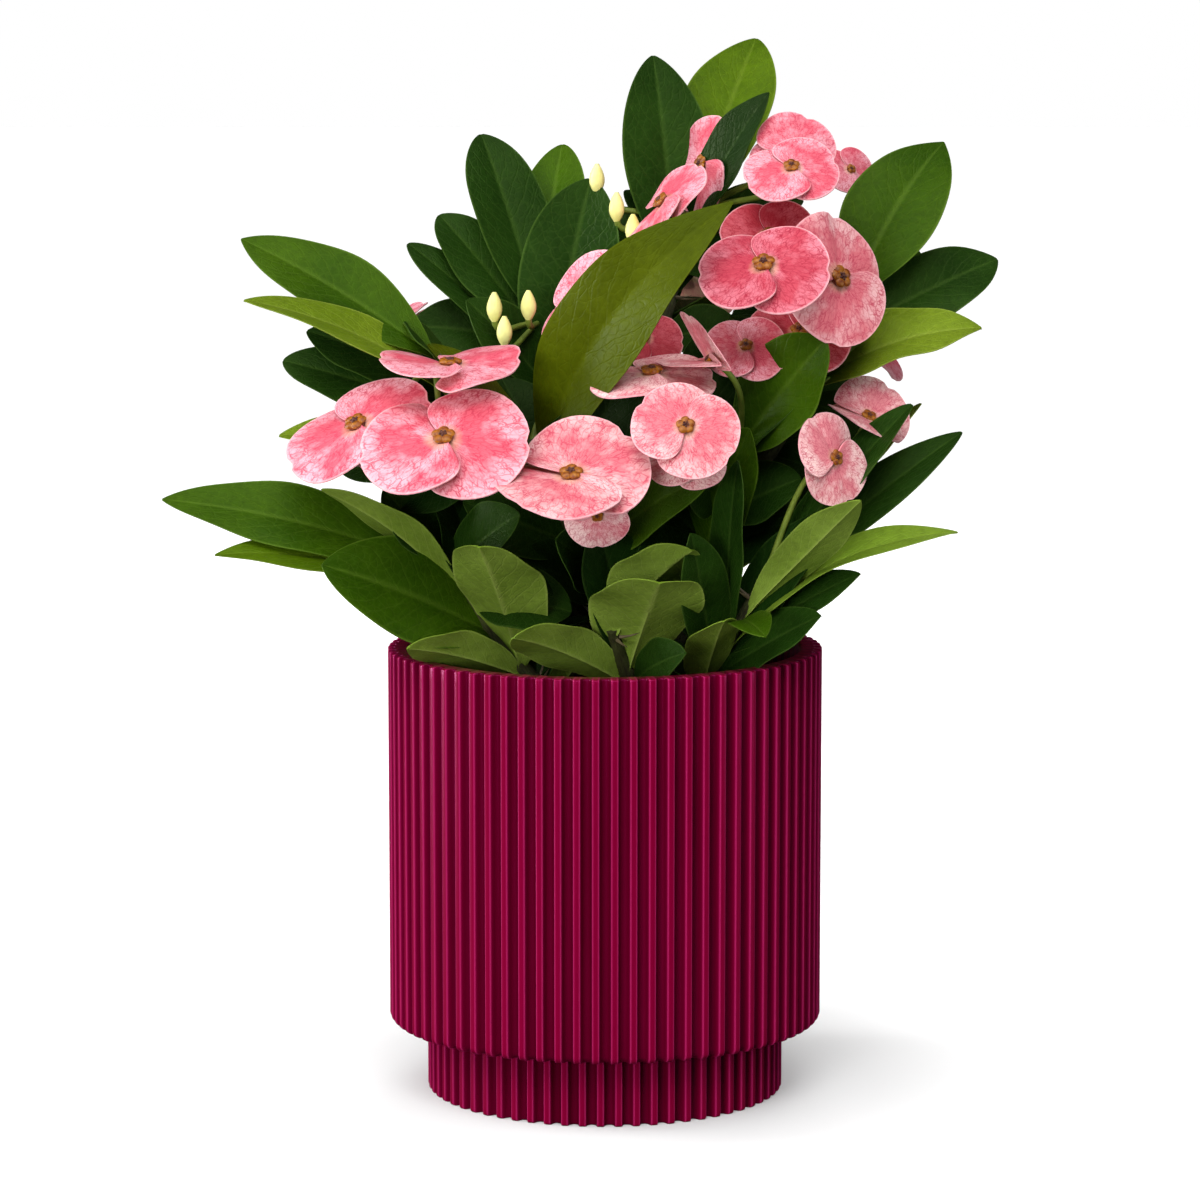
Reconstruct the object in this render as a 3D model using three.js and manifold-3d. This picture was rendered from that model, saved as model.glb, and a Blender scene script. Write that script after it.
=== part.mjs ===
// Potted crown of thorns: a young shrub with broad leaves and pink blossom in a ribbed pot.
// Millimetres, +Z up, -Y towards the viewer, origin at the centre of the pot's underside.
import * as THREE from "three";
import { mergeVertices } from "three/addons/utils/BufferGeometryUtils.js";
import Module from "manifold-3d";

const wasm = await Module();
wasm.setup();

// Pot sizes
const POT_RADIUS = 70;
const POT_HEIGHT = 144.5;
const POT_RIBS = 74;
const FOOT_RADIUS = 57.7;
const FOOT_HEIGHT = 23;
const FOOT_RIBS = 63;
const RIB_DEPTH = 2.6;
const RIB_CREST_SHARE = 0.27;
const RIB_FLANK_SHARE = 0.16;
const POT_WALL = 4.6;
const POT_FLOOR = 5;
const BORE_SIDES = 72;
const SOIL_SIDES = 36;
const SOIL_TOP = 128;

// Clearance between neighbouring solids, and the distance under which corners are one
const GAP = 0.3;
const WELD = 1e-3;
const WELD_PASSES = 4;

// How much of a leaf or bloom has to be clear of its neighbours for it to grow
const KEPT_SHARE = 0.6;
const REAR_KEPT_SHARE = 0.99;

// Main stem, as rings of height above the soil and radius
const STEM_SIDES = 12;
const STEM_LEAN = new THREE.Vector3(0.05, 0.04, 1);
const STEM_RINGS = [
  [0, 13.5],
  [2.5, 10.6],
  [7, 8.8],
  [15, 8.0],
  [23, 7.6],
  [27, 5.6],
];

// Boughs and the stem inside each mass. A bough's curve starts outwards and up by shares of its reach.
const BOUGH_SIDES = 6;
const BOUGH_STEPS = 5;
const BOUGH_ROOT_RADIUS = 4.4;
const FORK_DEPTH = 5;
const BOUGH_OUT = 0.22;
const BOUGH_RISE = 0.2;
const BOUGH_END = 0.35;
const SHOOT_RADIUS = 3.0;
const SHOOT_TIP_RADIUS = 1.7;
const SHOOT_SIDES = 6;

// Leaves
const LEAF_THICKNESS = 1.5;
const LEAF_FOLD = 0.2;
const PETIOLE_HALF_WIDTH = 1.2;
const ROOT_START = 0.8;
const LEAF_STATIONS = [0, 0.2, 0.5, 0.8, 1];

// Blossom: two kidney-shaped bracts round a cup, on a stalk
const BRACT_SPAN = 118;
const BLOOM_POINTS = 12;
const BRACT_CUP = -0.1;
const BRACT_WAVE = 0.05;
const BRACT_STRETCH = 1.06;
const CUP_HEIGHT = 1.6;
const CUP_DEPTH = 2.2;
const STALK_RADIUS = 1.1;
const STALK_SIDES = 3;
const STALK_RINGS = 4;
const STALK_SINK = 2.5;
const STALK_OUT = 0.18;
const STALK_AHEAD = 0.14;
const STALK_END = 0.35;
const BUD_RADIUS = 2.5;
const BUD_LENGTH = 9.5;
const BUD_PROFILE = [0.45, 1, 0.85, 0.25];
const BUD_SIDES = 5;

// Where the masses of foliage lie. foot and apex are the ends of the stem inside the mass, and fork
// is the height on the main stem at which its bough leaves.
// A leaf is [place along the stem, heading, lift, length, width, roll, pointedness, bow].
// Heading is counted from +X towards +Y, lift from the level, roll about the leaf's own axis.
// A bloom is [heading, lift and reach of its stalk, diameter, heading and lift it faces, spin, tilt].
// A bud is [heading, lift and reach of its stalk].
const SHOOTS = [
  {
    name: "left_rear",
    fork: 24,
    foot: [-15, 14, 213],
    apex: [-21, 22, 248],
    leaves: [
      [0.95, 125, 60, 69, 27, -10, 0.35],
      [0.75, 150, 46, 57, 24, -30, 0.35],
      [0.45, 165, 42, 64, 20, -30, 0.35],
      [0.35, 30, 78, 69, 33, 45, 0.35],
      [1.0, 80, 54, 67, 24, -10, 0.4],
      [0.3, 195, 48, 42, 22, -60, 0.5],
    ],
    blooms: [],
    buds: [
      [235, 2, 25],
      [260, 4, 20],
      [245, -14, 27],
    ],
  },
  {
    name: "top",
    fork: 26,
    foot: [16, 18, 238],
    apex: [28, 28, 281],
    leaves: [
      [0.55, 110, 74, 73, 30, -5, 0.5, 0.03],
      [1.0, 60, 52, 71, 30, 15, 0.5],
      [0.85, 325, 56, 56, 20, 70, 0.7, 0.03],
      [0.4, 145, 50, 36, 22, -35, 0.5],
      [0.6, 30, 14, 23, 22, 50, 0.5],
    ],
    blooms: [
      [310, 20, 51, 29, 270, 50, 20, 0],
      [325, 30, 45, 28, 270, 36, 70, 0],
      [310, 72, 18, 31, 215, 15, 80, 0],
      [250, 12, 29, 32, 200, 40, 90, 0],
      [5, 16, 54, 18, 300, 30, 0, 0],
      [305, -6, 42, 30, 270, 35, 0, 0],
    ],
    buds: [
      [210, -2, 28],
      [190, 14, 32],
      [225, -16, 28],
    ],
  },
  {
    name: "right",
    fork: 22,
    foot: [55, 2, 211],
    apex: [79, 8, 255],
    leaves: [
      [1.0, 45, 48, 66, 32, 30, 0.9, 0.08],
      [0.8, 55, 26, 53, 22, 35, 0.5],
      [0.7, 25, 22, 66, 25, 50, 0.5],
      [0.35, 355, 20, 60, 30, 30, 0.7, 0.1],
      [0.3, 25, -4, 26, 22, 50, 0.5],
      [0.5, 145, 38, 35, 24, -40, 0.4],
    ],
    blooms: [
      [240, 14, 62, 39, 262, 50, 5, 0],
      [260, 16, 36, 41, 308, 18, 75, 0],
      [235, -14, 32, 32, 270, 45, 0, 0],
    ],
    buds: [],
  },
  {
    name: "left",
    fork: 18,
    foot: [-35, -12, 206],
    apex: [-53, -24, 240],
    leaves: [
      [1.0, 160, 28, 75, 26, -40, 0.75, 0.04],
      [0.55, 195, 26, 77, 20, -30, 0.7, 0.08],
      [0.5, 165, 24, 57, 24, -40, 0.5],
      [0.4, 170, 16, 63, 24, -45, 0.35],
      [0.2, 170, 0, 66, 16, -30, 0.4],
      [0.15, 190, -10, 46, 22, -45, 0.4],
      [0.05, 210, -24, 37, 24, -35, 0.4],
      [0.3, 265, -52, 26, 22, 25, 0.4],
    ],
    blooms: [
      [275, -28, 46, 50, 262, 54, 8, 0],
      [220, -32, 37, 46, 235, 54, 45, 0],
      [285, -4, 19, 43, 270, 82, 0, 14],
    ],
    buds: [],
  },
  {
    name: "centre",
    fork: 27,
    foot: [-2, -6, 163],
    apex: [-24, -18, 213],
    leaves: [
      [0.8, 330, 52, 110, 34, 80, 0.9, 0.15],
      [0.2, 315, 30, 65, 26, 65, 0.5],
      [0.6, 145, 60, 43, 26, -35, 0.4],
      [0.9, 190, 46, 49, 19, -30, 0.4],
      [0.3, 210, 22, 44, 24, -70, 0.4],
      [0.5, 35, 60, 59, 26, 25, 0.4],
      [0.1, 255, 22, 45, 22, -95, 0.4],
      [0.0, 225, 20, 37, 22, -60, 0.4],
      [0.2, 355, 52, 53, 22, 60, 0.4],
    ],
    blooms: [
      [285, -6, 53, 48, 265, 60, 50, 15],
      [40, 60, 48, 38, 228, 30, 80, 0],
      [15, 40, 49, 24, 270, 50, 0, 0],
      [300, -24, 47, 22, 270, -15, 90, 0],
    ],
    buds: [],
  },
  {
    name: "mid_right",
    fork: 25,
    foot: [30, -6, 170],
    apex: [43, -18, 213],
    leaves: [
      [0.9, 330, 50, 48, 30, 80, 0.3],
      [0.6, 330, 46, 53, 16, 30, 0.5],
      [0.1, 295, 54, 54, 24, 120, 0.4, 0.04],
      [0.7, 115, 64, 48, 24, 0, 0.4],
      [0.4, 340, 26, 31, 22, 55, 0.4],
      [0.2, 210, 42, 33, 22, -80, 0.4],
      [0.0, 240, 12, 40, 22, -70, 0.4],
      [0.1, 345, 22, 34, 22, 60, 0.4],
      [0.5, 245, 30, 29, 20, -105, 0.4],
    ],
    blooms: [
      [250, 10, 55, 32, 270, 34, -35, 0],
      [220, 32, 44, 38, 270, 74, 10, 0],
      [280, 78, 31, 25, 270, 40, 0, 0],
      [245, 50, 35, 36, 190, 30, 90, 62],
      [245, -2, 43, 24, 270, 50, 0, 0],
    ],
    buds: [],
  },
  {
    name: "left_low",
    fork: 8,
    foot: [-25, -20, 138],
    apex: [-52, -28, 175],
    leaves: [
      [0.95, 180, 14, 91, 24, -50, 0.75],
      [0.65, 190, 12, 82, 20, -30, 0.75, 0.08],
      [0.35, 205, 24, 64, 34, -65, 0.5],
      [0.75, 210, 36, 60, 18, 20, 0.6],
      [1.0, 185, 54, 29, 20, -50, 0.4],
      [0.9, 320, 36, 36, 22, 70, 0.5],
      [0.05, 255, 44, 65, 30, -5, 0.15, 0.06],
      [0.6, 345, 0, 31, 24, 45, 0.3, 0.15],
      [0.0, 220, 16, 49, 18, 45, 0.6],
      [0.6, 145, 74, 41, 28, -5, 0.4],
    ],
    blooms: [],
    buds: [],
  },
  {
    name: "right_low",
    fork: 7,
    foot: [30, -22, 132],
    apex: [49, -30, 168],
    leaves: [
      [0.9, 10, 50, 78, 18, 25, 0.3, 0.03],
      [0.8, 20, 36, 90, 18, 35, 0.5, 0.03],
      [0.95, 40, 38, 89, 16, -5, 0.4, 0.03],
      [0.3, 345, 30, 88, 22, 20, 0.7, 0.12],
      [0.75, 310, 38, 66, 16, -35, 0.6, 0.04],
      [0.35, 335, 32, 55, 16, 50, 0.5, 0.03],
      [0.1, 320, 30, 52, 20, 55, 0.5, 0.02],
      [0.6, 280, 6, 44, 14, 15, 0.4, 0.1],
      [0.0, 280, 38, 47, 18, 15, 0.3],
      [0.5, 275, 72, 62, 16, 125, 0.5, 0.04],
      [0.2, 255, 60, 55, 20, -125, 0.5, 0.04],
      [0.3, 345, 54, 60, 20, 60, 0.4, 0.04],
    ],
    blooms: [
      [340, 60, 48, 28, 312, 14, -72, 0],
      [30, 52, 65, 28, 300, 50, 40, 30],
    ],
    buds: [],
  },
  {
    name: "front",
    fork: 9,
    foot: [9, -26, 134],
    apex: [2, -42, 156],
    leaves: [
      [0.1, 225, 22, 55, 20, 40, 0.3, 0.06],
      [0.3, 285, 42, 50, 36, -5, 0.1, 0.06],
      [0.95, 335, 46, 38, 30, -25, 0.1, 0.06],
      [0.5, 210, 78, 45, 24, -85, 0.3],
      [0.1, 295, 22, 41, 16, 80, 0.4],
    ],
    blooms: [],
    buds: [],
  },
];

// Masses at the back, whose leaves follow a seeded spiral
const REAR_SHOOTS = [
  {
    name: "rear_left",
    fork: 20,
    foot: [-32, 26, 176],
    apex: [-50, 44, 216],
    seed: 11,
    count: 12,
    outwards: 135,
    bloomCount: 2,
  },
  {
    name: "rear_middle",
    fork: 21,
    foot: [4, 36, 196],
    apex: [6, 52, 238],
    seed: 23,
    count: 12,
    outwards: 85,
    bloomCount: 2,
  },
  {
    name: "rear_right",
    fork: 19,
    foot: [36, 26, 180],
    apex: [58, 42, 220],
    seed: 37,
    count: 12,
    outwards: 40,
    bloomCount: 2,
  },
  {
    name: "rear_low_left",
    fork: 10,
    foot: [-20, 24, 138],
    apex: [-34, 44, 164],
    seed: 41,
    count: 9,
    outwards: 125,
    bloomCount: 0,
  },
  {
    name: "rear_low_right",
    fork: 11,
    foot: [22, 26, 138],
    apex: [38, 44, 166],
    seed: 59,
    count: 9,
    outwards: 55,
    bloomCount: 0,
  },
];
const SPIRAL_TURN = 137.5;
const REAR_LENGTH = [50, 66];
const REAR_WIDTH = [20, 27];
const REAR_LIFT = [4, 50];
const REAR_SWAY = [-12, 12];
const REAR_NOD = [-8, 8];
const REAR_ROLL = [-15, 15];
const REAR_POINTED = [0.3, 0.7];
const REAR_FACE_LIFT = 50;
const REAR_FRONT_LIMIT = 4;
const CROWN_TOP = 318;
// Swing of the stalk from the way the mass leans, its lift and reach, and the bloom's diameter
const REAR_BLOOMS = [
  [-48, 40, 34, 38],
  [42, 46, 36, 36],
];

const EAST = new THREE.Vector3(1, 0, 0);
const NORTH = new THREE.Vector3(0, 1, 0);
const UP = new THREE.Vector3(0, 0, 1);

const radians = (degrees) => (degrees * Math.PI) / 180;

const vector = (list) => new THREE.Vector3(...list);

function aim(heading, lift) {
  const level = Math.cos(radians(lift));
  return new THREE.Vector3(
    level * Math.cos(radians(heading)),
    level * Math.sin(radians(heading)),
    Math.sin(radians(lift)),
  );
}

// The point reached from an origin by steps, each a direction and how far along it
function place(origin, ...steps) {
  return steps.reduce((point, [way, far]) => point.addScaledVector(way, far), origin.clone());
}

// Small repeatable random numbers from 0 to 1
function seeded(seed) {
  let state = seed;
  return () => {
    state = (Math.imul(state, 1664525) + 1013904223) >>> 0;
    return state / 4294967296;
  };
}

function mix(range, share) {
  return range[0] + (range[1] - range[0]) * share;
}

// Solids

function solidOf(geometry) {
  const bare = geometry.clone();
  bare.deleteAttribute("normal");
  bare.deleteAttribute("uv");
  const merged = mergeVertices(bare, WELD);
  return new wasm.Manifold(
    new wasm.Mesh({
      numProp: 3,
      vertProperties: new Float32Array(merged.attributes.position.array),
      triVerts: new Uint32Array(merged.index.array),
    }),
  );
}

function geometryOf(solid) {
  const mesh = solid.getMesh();
  const geometry = new THREE.BufferGeometry();
  geometry.setAttribute("position", new THREE.BufferAttribute(new Float32Array(mesh.vertProperties), 3));
  geometry.setIndex(new THREE.BufferAttribute(new Uint32Array(mesh.triVerts), 1));
  return geometry;
}

function bodyFrom(points, triangles) {
  const geometry = new THREE.BufferGeometry().setFromPoints(points);
  geometry.setIndex(triangles);
  return solidOf(geometry);
}

// A closed body over rings of points, each ring counted anticlockwise about the way forward.
// The first and the last ring may be a single point.
function loft(rings) {
  const triangles = [];
  const last = rings.length - 1;
  let near = 0;
  for (let k = 0; k < last; k++) {
    const far = near + rings[k].length;
    const count = Math.max(rings[k].length, rings[k + 1].length);
    for (let i = 0; i < count; i++) {
      const j = (i + 1) % count;
      if (rings[k].length === 1) triangles.push(near, far + j, far + i);
      else if (rings[k + 1].length === 1) triangles.push(near + i, near + j, far);
      else triangles.push(near + i, near + j, far + j, near + i, far + j, far + i);
    }
    near = far;
  }
  for (let i = 1; i < rings[0].length - 1; i++) triangles.push(0, i + 1, i);
  for (let i = 1; i < rings[last].length - 1; i++) triangles.push(near, near + i, near + i + 1);
  return bodyFrom(rings.flat(), triangles);
}

// A straight or curved tube of changing radius
function tube(path, radii, sides) {
  const rings = radii.map((radius, k) => {
    const share = k / (radii.length - 1);
    const centre = path.getPoint(share);
    const along = path.getTangent(share);
    const across = EAST.clone().addScaledVector(along, -along.x).normalize();
    const over = along.clone().cross(across);
    return Array.from({ length: sides }, (_, i) => {
      const turn = (i / sides) * 2 * Math.PI;
      return place(centre, [across, radius * Math.cos(turn)], [over, radius * Math.sin(turn)]);
    });
  });
  return loft(rings);
}

function union(solids) {
  return solids.reduce((sum, solid) => sum.add(solid));
}

function largest(solid) {
  const parts = solid.decompose();
  return parts.reduce((best, part) => (part.volume() > best.volume() ? part : best));
}

// One body as a geometry, with loose scraps dropped, sealed hollows filled and close corners merged
function oneBody(solid) {
  let body = largest(solid);
  for (let pass = 0; pass < WELD_PASSES; pass++) body = largest(solidOf(geometryOf(body)));
  return geometryOf(body);
}

// Ribbed pot

function ribbedOutline(radius, ribs) {
  const crest = RIB_CREST_SHARE / 2;
  const flank = crest + RIB_FLANK_SHARE;
  const corners = [
    [-crest, radius],
    [crest, radius],
    [flank, radius - RIB_DEPTH],
    [1 - flank, radius - RIB_DEPTH],
  ];
  const points = [];
  for (let rib = 0; rib < ribs; rib++) {
    for (const [share, reach] of corners) {
      const turn = ((rib + share) / ribs) * 2 * Math.PI;
      points.push(new THREE.Vector2(reach * Math.cos(turn), reach * Math.sin(turn)));
    }
  }
  return points;
}

function ribbedDrum(radius, ribs, bottom, top) {
  const shape = new THREE.Shape(ribbedOutline(radius, ribs));
  const geometry = new THREE.ExtrudeGeometry(shape, { depth: top - bottom, bevelEnabled: false });
  return geometry.translate(0, 0, bottom);
}

function drum(radius, bottom, top, sides = BORE_SIDES) {
  const geometry = new THREE.CylinderGeometry(radius, radius, top - bottom, sides);
  return geometry.rotateX(Math.PI / 2).translate(0, 0, (top + bottom) / 2);
}

const boreRadius = POT_RADIUS - RIB_DEPTH - POT_WALL;
const cavityFloor = FOOT_HEIGHT + POT_FLOOR;
const OVERRUN = 20;

function makePotBody() {
  const outside = solidOf(ribbedDrum(POT_RADIUS, POT_RIBS, FOOT_HEIGHT, POT_HEIGHT));
  const inside = solidOf(drum(boreRadius, cavityFloor, POT_HEIGHT + OVERRUN));
  return outside.subtract(inside);
}

// Main stem and boughs

const stemFoot = new THREE.Vector3(0, 0, SOIL_TOP);
const leanWay = STEM_LEAN.clone().divideScalar(STEM_LEAN.z);

function onStem(height) {
  return stemFoot.clone().addScaledVector(leanWay, height);
}

function makeStem(grown) {
  const rings = STEM_RINGS.map(([height, radius], k) => {
    const top = k === STEM_RINGS.length - 1 ? grown : 0;
    const centre = onStem(height + top);
    return Array.from({ length: STEM_SIDES }, (_, i) => {
      const turn = (i / STEM_SIDES) * 2 * Math.PI;
      const reach = radius + grown;
      return place(centre, [EAST, reach * Math.cos(turn)], [NORTH, reach * Math.sin(turn)]);
    });
  });
  return loft(rings);
}

function boughSolid(shoot, grown) {
  const foot = vector(shoot.foot);
  const way = vector(shoot.apex).sub(foot).normalize();
  const root = onStem(shoot.fork - FORK_DEPTH);
  const tip = foot.clone().addScaledVector(way, grown - GAP);
  const reach = root.distanceTo(tip);
  const outwards = new THREE.Vector3(tip.x - root.x, tip.y - root.y, 0).normalize();
  const leaving = place(root, [outwards, reach * BOUGH_OUT], [UP, reach * BOUGH_RISE]);
  const arriving = place(tip, [way, -reach * BOUGH_END]);
  const curve = new THREE.CubicBezierCurve3(root, leaving, arriving, tip);
  const radii = Array.from(
    { length: BOUGH_STEPS + 1 },
    (_, k) => mix([BOUGH_ROOT_RADIUS, SHOOT_RADIUS], k / BOUGH_STEPS) + grown,
  );
  return tube(curve, radii, BOUGH_SIDES);
}

// Leaves

// How far the two corners of an edge lie below and above it. A blade's own edge is sharp.
function brims(grown) {
  return grown > 0 ? [-grown, grown] : [0];
}

// Half the width of a leaf at a share of its length, as a share of the widest half width
function leafShape(share, pointed) {
  const fall = 0.5 + 0.5 * pointed;
  const widest = 0.6 - 0.12 * pointed;
  const rise = (fall * widest) / (1 - widest);
  const peak = widest ** rise * (1 - widest) ** fall;
  return (share ** rise * (1 - share) ** fall) / peak;
}

function leafSolid(stem, leaf, grown) {
  const [along, heading, lift, length, width, roll, pointed = 0.4, bow = 0.05] = leaf;
  const axis = aim(heading, lift);
  const base = stem.foot.clone().lerp(stem.apex, along).addScaledVector(axis, ROOT_START);
  const over = UP.clone().addScaledVector(axis, -axis.z).normalize();
  over.applyAxisAngle(axis, radians(roll));
  const side = axis.clone().cross(over);
  const rings = LEAF_STATIONS.map((share) => {
    const half = Math.max((width / 2) * leafShape(share, pointed), PETIOLE_HALF_WIDTH * (1 - share));
    const rise = length * bow * 4 * share * (1 - share);
    const centre = place(base, [axis, length * share], [over, rise]);
    if (share === 1) return [centre.addScaledVector(axis, grown)];
    const thick = LEAF_THICKNESS / 2 + grown;
    const raised = half * LEAF_FOLD;
    const brim = brims(grown);
    return [
      ...brim.map((step) => place(centre, [side, -half - grown], [over, raised + step])),
      place(centre, [over, thick]),
      ...brim.toReversed().map((step) => place(centre, [side, half + grown], [over, raised + step])),
      place(centre, [over, -thick]),
    ];
  });
  return loft(rings);
}

// Blossom

// How far the two bracts of a bloom reach at a turn about its centre, as a share of its radius
function bloomReach(turn) {
  const shares = [0, 180].map((start) => {
    const away = Math.abs(((turn - start + 540) % 360) - 180);
    return away < BRACT_SPAN ? (1 - (away / BRACT_SPAN) ** 5) ** 0.45 : 0;
  });
  const stretch = 1 + (BRACT_STRETCH - 1) * Math.abs(Math.cos(radians(turn)));
  return Math.max(...shares) * stretch;
}

// The flat head of a bloom, thickest at its centre and as thin as a petal at its rim
function headSolid(centre, face, spin, diameter, tilt, grown) {
  const level = UP.clone().cross(face).normalize();
  const axis = level.applyAxisAngle(face, radians(spin));
  const across = face.clone().cross(axis);
  const radius = diameter / 2;
  const rims = brims(grown).map((rise) => Array.from({ length: BLOOM_POINTS }, (_, i) => {
    const turn = ((i + 0.5) / BLOOM_POINTS) * 360;
    const far = radius * bloomReach(turn) + grown;
    const out = far * Math.cos(radians(turn));
    const raised = Math.abs(out) * Math.sin(radians(tilt));
    const height = radius * (BRACT_CUP + BRACT_WAVE * Math.sin(radians(3 * turn))) + raised;
    const folded = [axis, out * Math.cos(radians(tilt))];
    return place(centre, folded, [across, far * Math.sin(radians(turn))], [face, height + rise]);
  }));
  const bottom = centre.clone().addScaledVector(face, -CUP_DEPTH - grown);
  const top = centre.clone().addScaledVector(face, CUP_HEIGHT + grown);
  return loft([[bottom], ...rims, [top]]);
}

// A stalk that leaves the tip of its stem between the stem's way and its own, and arrives along face
function stalk(stem, to, face, grown) {
  const way = stem.apex.clone().sub(stem.foot).normalize();
  const from = stem.apex.clone().addScaledVector(way, -STALK_SINK);
  const reach = from.distanceTo(to);
  const ahead = to.clone().sub(from).divideScalar(reach);
  const leaving = place(from, [way, reach * STALK_OUT], [ahead, reach * STALK_AHEAD]);
  const arriving = place(to, [face, -reach * STALK_END]);
  const curve = new THREE.CubicBezierCurve3(from, leaving, arriving, to);
  return tube(curve, Array(STALK_RINGS).fill(STALK_RADIUS + grown), STALK_SIDES);
}

function bloomSolid(stem, bloom, grown) {
  const [heading, lift, reach, diameter, faceHeading, faceLift, spin, tilt] = bloom;
  const centre = stem.apex.clone().addScaledVector(aim(heading, lift), reach);
  const face = aim(faceHeading, faceLift);
  const head = headSolid(centre, face, spin, diameter, tilt, grown);
  return head.add(stalk(stem, centre.clone().addScaledVector(face, -1), face, grown));
}

function budSolid(stem, bud, grown) {
  const [heading, lift, reach] = bud;
  const bottom = stem.apex.clone().addScaledVector(aim(heading, lift), reach);
  const top = bottom.clone().addScaledVector(UP, BUD_LENGTH);
  const radii = BUD_PROFILE.map((share) => share * BUD_RADIUS + grown);
  return union([
    tube(new THREE.LineCurve3(bottom, top), radii, BUD_SIDES),
    stalk(stem, bottom.clone().addScaledVector(UP, 1), UP, grown),
  ]);
}

// Leaves and blossom of a mass at the back, from its seed
function spiralShoot({ name, fork, foot, apex, seed, count, outwards, bloomCount }) {
  const random = seeded(seed);
  const leaves = [];
  for (let i = 0; i < count; i++) {
    const along = mix([0.05, 1], i / (count - 1));
    const heading = outwards + i * SPIRAL_TURN + mix(REAR_SWAY, random());
    const lift = mix(REAR_LIFT, along) + mix(REAR_NOD, random());
    const length = mix(REAR_LENGTH, random()) * mix([1, 0.85], along);
    const width = mix(REAR_WIDTH, random());
    const roll = mix(REAR_ROLL, random());
    const pointed = mix(REAR_POINTED, random());
    leaves.push([along, heading, lift, length, width, roll, pointed]);
  }
  const blooms = REAR_BLOOMS.slice(0, bloomCount).map(([swing, lift, reach, diameter]) => {
    const heading = outwards + swing;
    return [heading, lift, reach, diameter, heading, REAR_FACE_LIFT, mix([0, 180], random()), 0];
  });
  return { name, fork, foot, apex, leaves, blooms, buds: [] };
}

const shoots = [...SHOOTS, ...REAR_SHOOTS.map(spiralShoot)];

function withinCrown(stem, leaf) {
  const [along, heading, lift, length] = leaf;
  const tip = stem.foot.clone().lerp(stem.apex, along).addScaledVector(aim(heading, lift), length);
  return !stem.rear || (tip.y > REAR_FRONT_LIMIT && tip.z < CROWN_TOP);
}

// Assembly

const group = new THREE.Group();

function addPiece(name, geometry, color, roughness) {
  const material = new THREE.MeshStandardMaterial({ color, roughness, metalness: 0 });
  const mesh = new THREE.Mesh(geometry, material);
  mesh.name = name;
  group.add(mesh);
}

const POT_COLOUR = 0x8e0f48;
const BARK_COLOUR = 0x6d5a45;
const LEAF_COLOUR = 0x2f5a22;
const SOIL_COLOUR = 0x3b2a1e;
const POT_ROUGHNESS = 0.35;
const BARK_ROUGHNESS = 0.85;
const LEAF_ROUGHNESS = 0.5;
const SOIL_ROUGHNESS = 0.95;

addPiece("pot_body", geometryOf(makePotBody()), POT_COLOUR, POT_ROUGHNESS);
const foot = ribbedDrum(FOOT_RADIUS, FOOT_RIBS, 0, FOOT_HEIGHT);
addPiece("pot_foot", foot, POT_COLOUR, POT_ROUGHNESS);
const soil = drum(boreRadius - GAP, cavityFloor, SOIL_TOP, SOIL_SIDES);
addPiece("soil", soil, SOIL_COLOUR, SOIL_ROUGHNESS);
addPiece("main_stem", geometryOf(makeStem(0)), BARK_COLOUR, BARK_ROUGHNESS);

const rimGuard = solidOf(drum(POT_RADIUS + GAP, cavityFloor, POT_HEIGHT + GAP)).subtract(
  solidOf(drum(boreRadius - GAP, SOIL_TOP + GAP, POT_HEIGHT + OVERRUN)),
);

// Limbs that every mass keeps clear of, a little larger than they are
const limbGuards = [rimGuard, makeStem(GAP)];
for (const shoot of shoots) {
  const bough = limbGuards.reduce((solid, guard) => solid.subtract(guard), boughSolid(shoot, 0));
  limbGuards.push(boughSolid(shoot, GAP));
  addPiece(`bough_${shoot.name}`, oneBody(bough), BARK_COLOUR, BARK_ROUGHNESS);
}

function overlapping(a, b) {
  const p = a.boundingBox();
  const q = b.boundingBox();
  return [0, 1, 2].every((i) => p.min[i] < q.max[i] && q.min[i] < p.max[i]);
}

// What is left of a piece beside its guards, or nothing where less is left than its share
function trimmed(solid, guards, share) {
  const near = guards.filter((guard) => overlapping(solid, guard));
  const rest = near.reduce((sum, guard) => sum.subtract(guard), solid);
  if (rest.isEmpty()) return null;
  const kept = largest(rest);
  return kept.volume() > share * solid.volume() ? kept : null;
}

const masses = shoots.map((shoot, k) => {
  const stem = { foot: vector(shoot.foot), apex: vector(shoot.apex), rear: k >= SHOOTS.length };
  return { shoot, stem, solids: [], guards: [] };
});

function othersGuards(mass) {
  return masses.filter((other) => other !== mass).flatMap((other) => other.guards);
}

// The stems come first, then blossom and buds, then the leaves, which give way to them
for (const mass of masses) {
  const { foot, apex } = mass.stem;
  const path = new THREE.LineCurve3(foot, apex);
  const radii = [SHOOT_RADIUS, SHOOT_TIP_RADIUS];
  mass.solids.push(trimmed(tube(path, radii, SHOOT_SIDES), limbGuards, KEPT_SHARE));
  mass.guards.push(tube(path, radii.map((radius) => radius + GAP), SHOOT_SIDES));
}

function growPieces(mass, rows, make) {
  for (const row of rows) {
    const share = mass.stem.rear ? REAR_KEPT_SHARE : KEPT_SHARE;
    const piece = trimmed(make(mass.stem, row, 0), [...limbGuards, ...othersGuards(mass)], share);
    if (piece === null) continue;
    mass.solids.push(piece);
    mass.guards.push(make(mass.stem, row, GAP));
  }
}

for (const mass of masses) growPieces(mass, mass.shoot.blooms, bloomSolid);
for (const mass of masses) growPieces(mass, mass.shoot.buds, budSolid);
for (const mass of masses) {
  const leaves = mass.shoot.leaves.filter((leaf) => withinCrown(mass.stem, leaf));
  growPieces(mass, leaves, leafSolid);
}

for (const mass of masses) {
  addPiece(`foliage_${mass.shoot.name}`, oneBody(union(mass.solids)), LEAF_COLOUR, LEAF_ROUGHNESS);
}

export default group;
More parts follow.
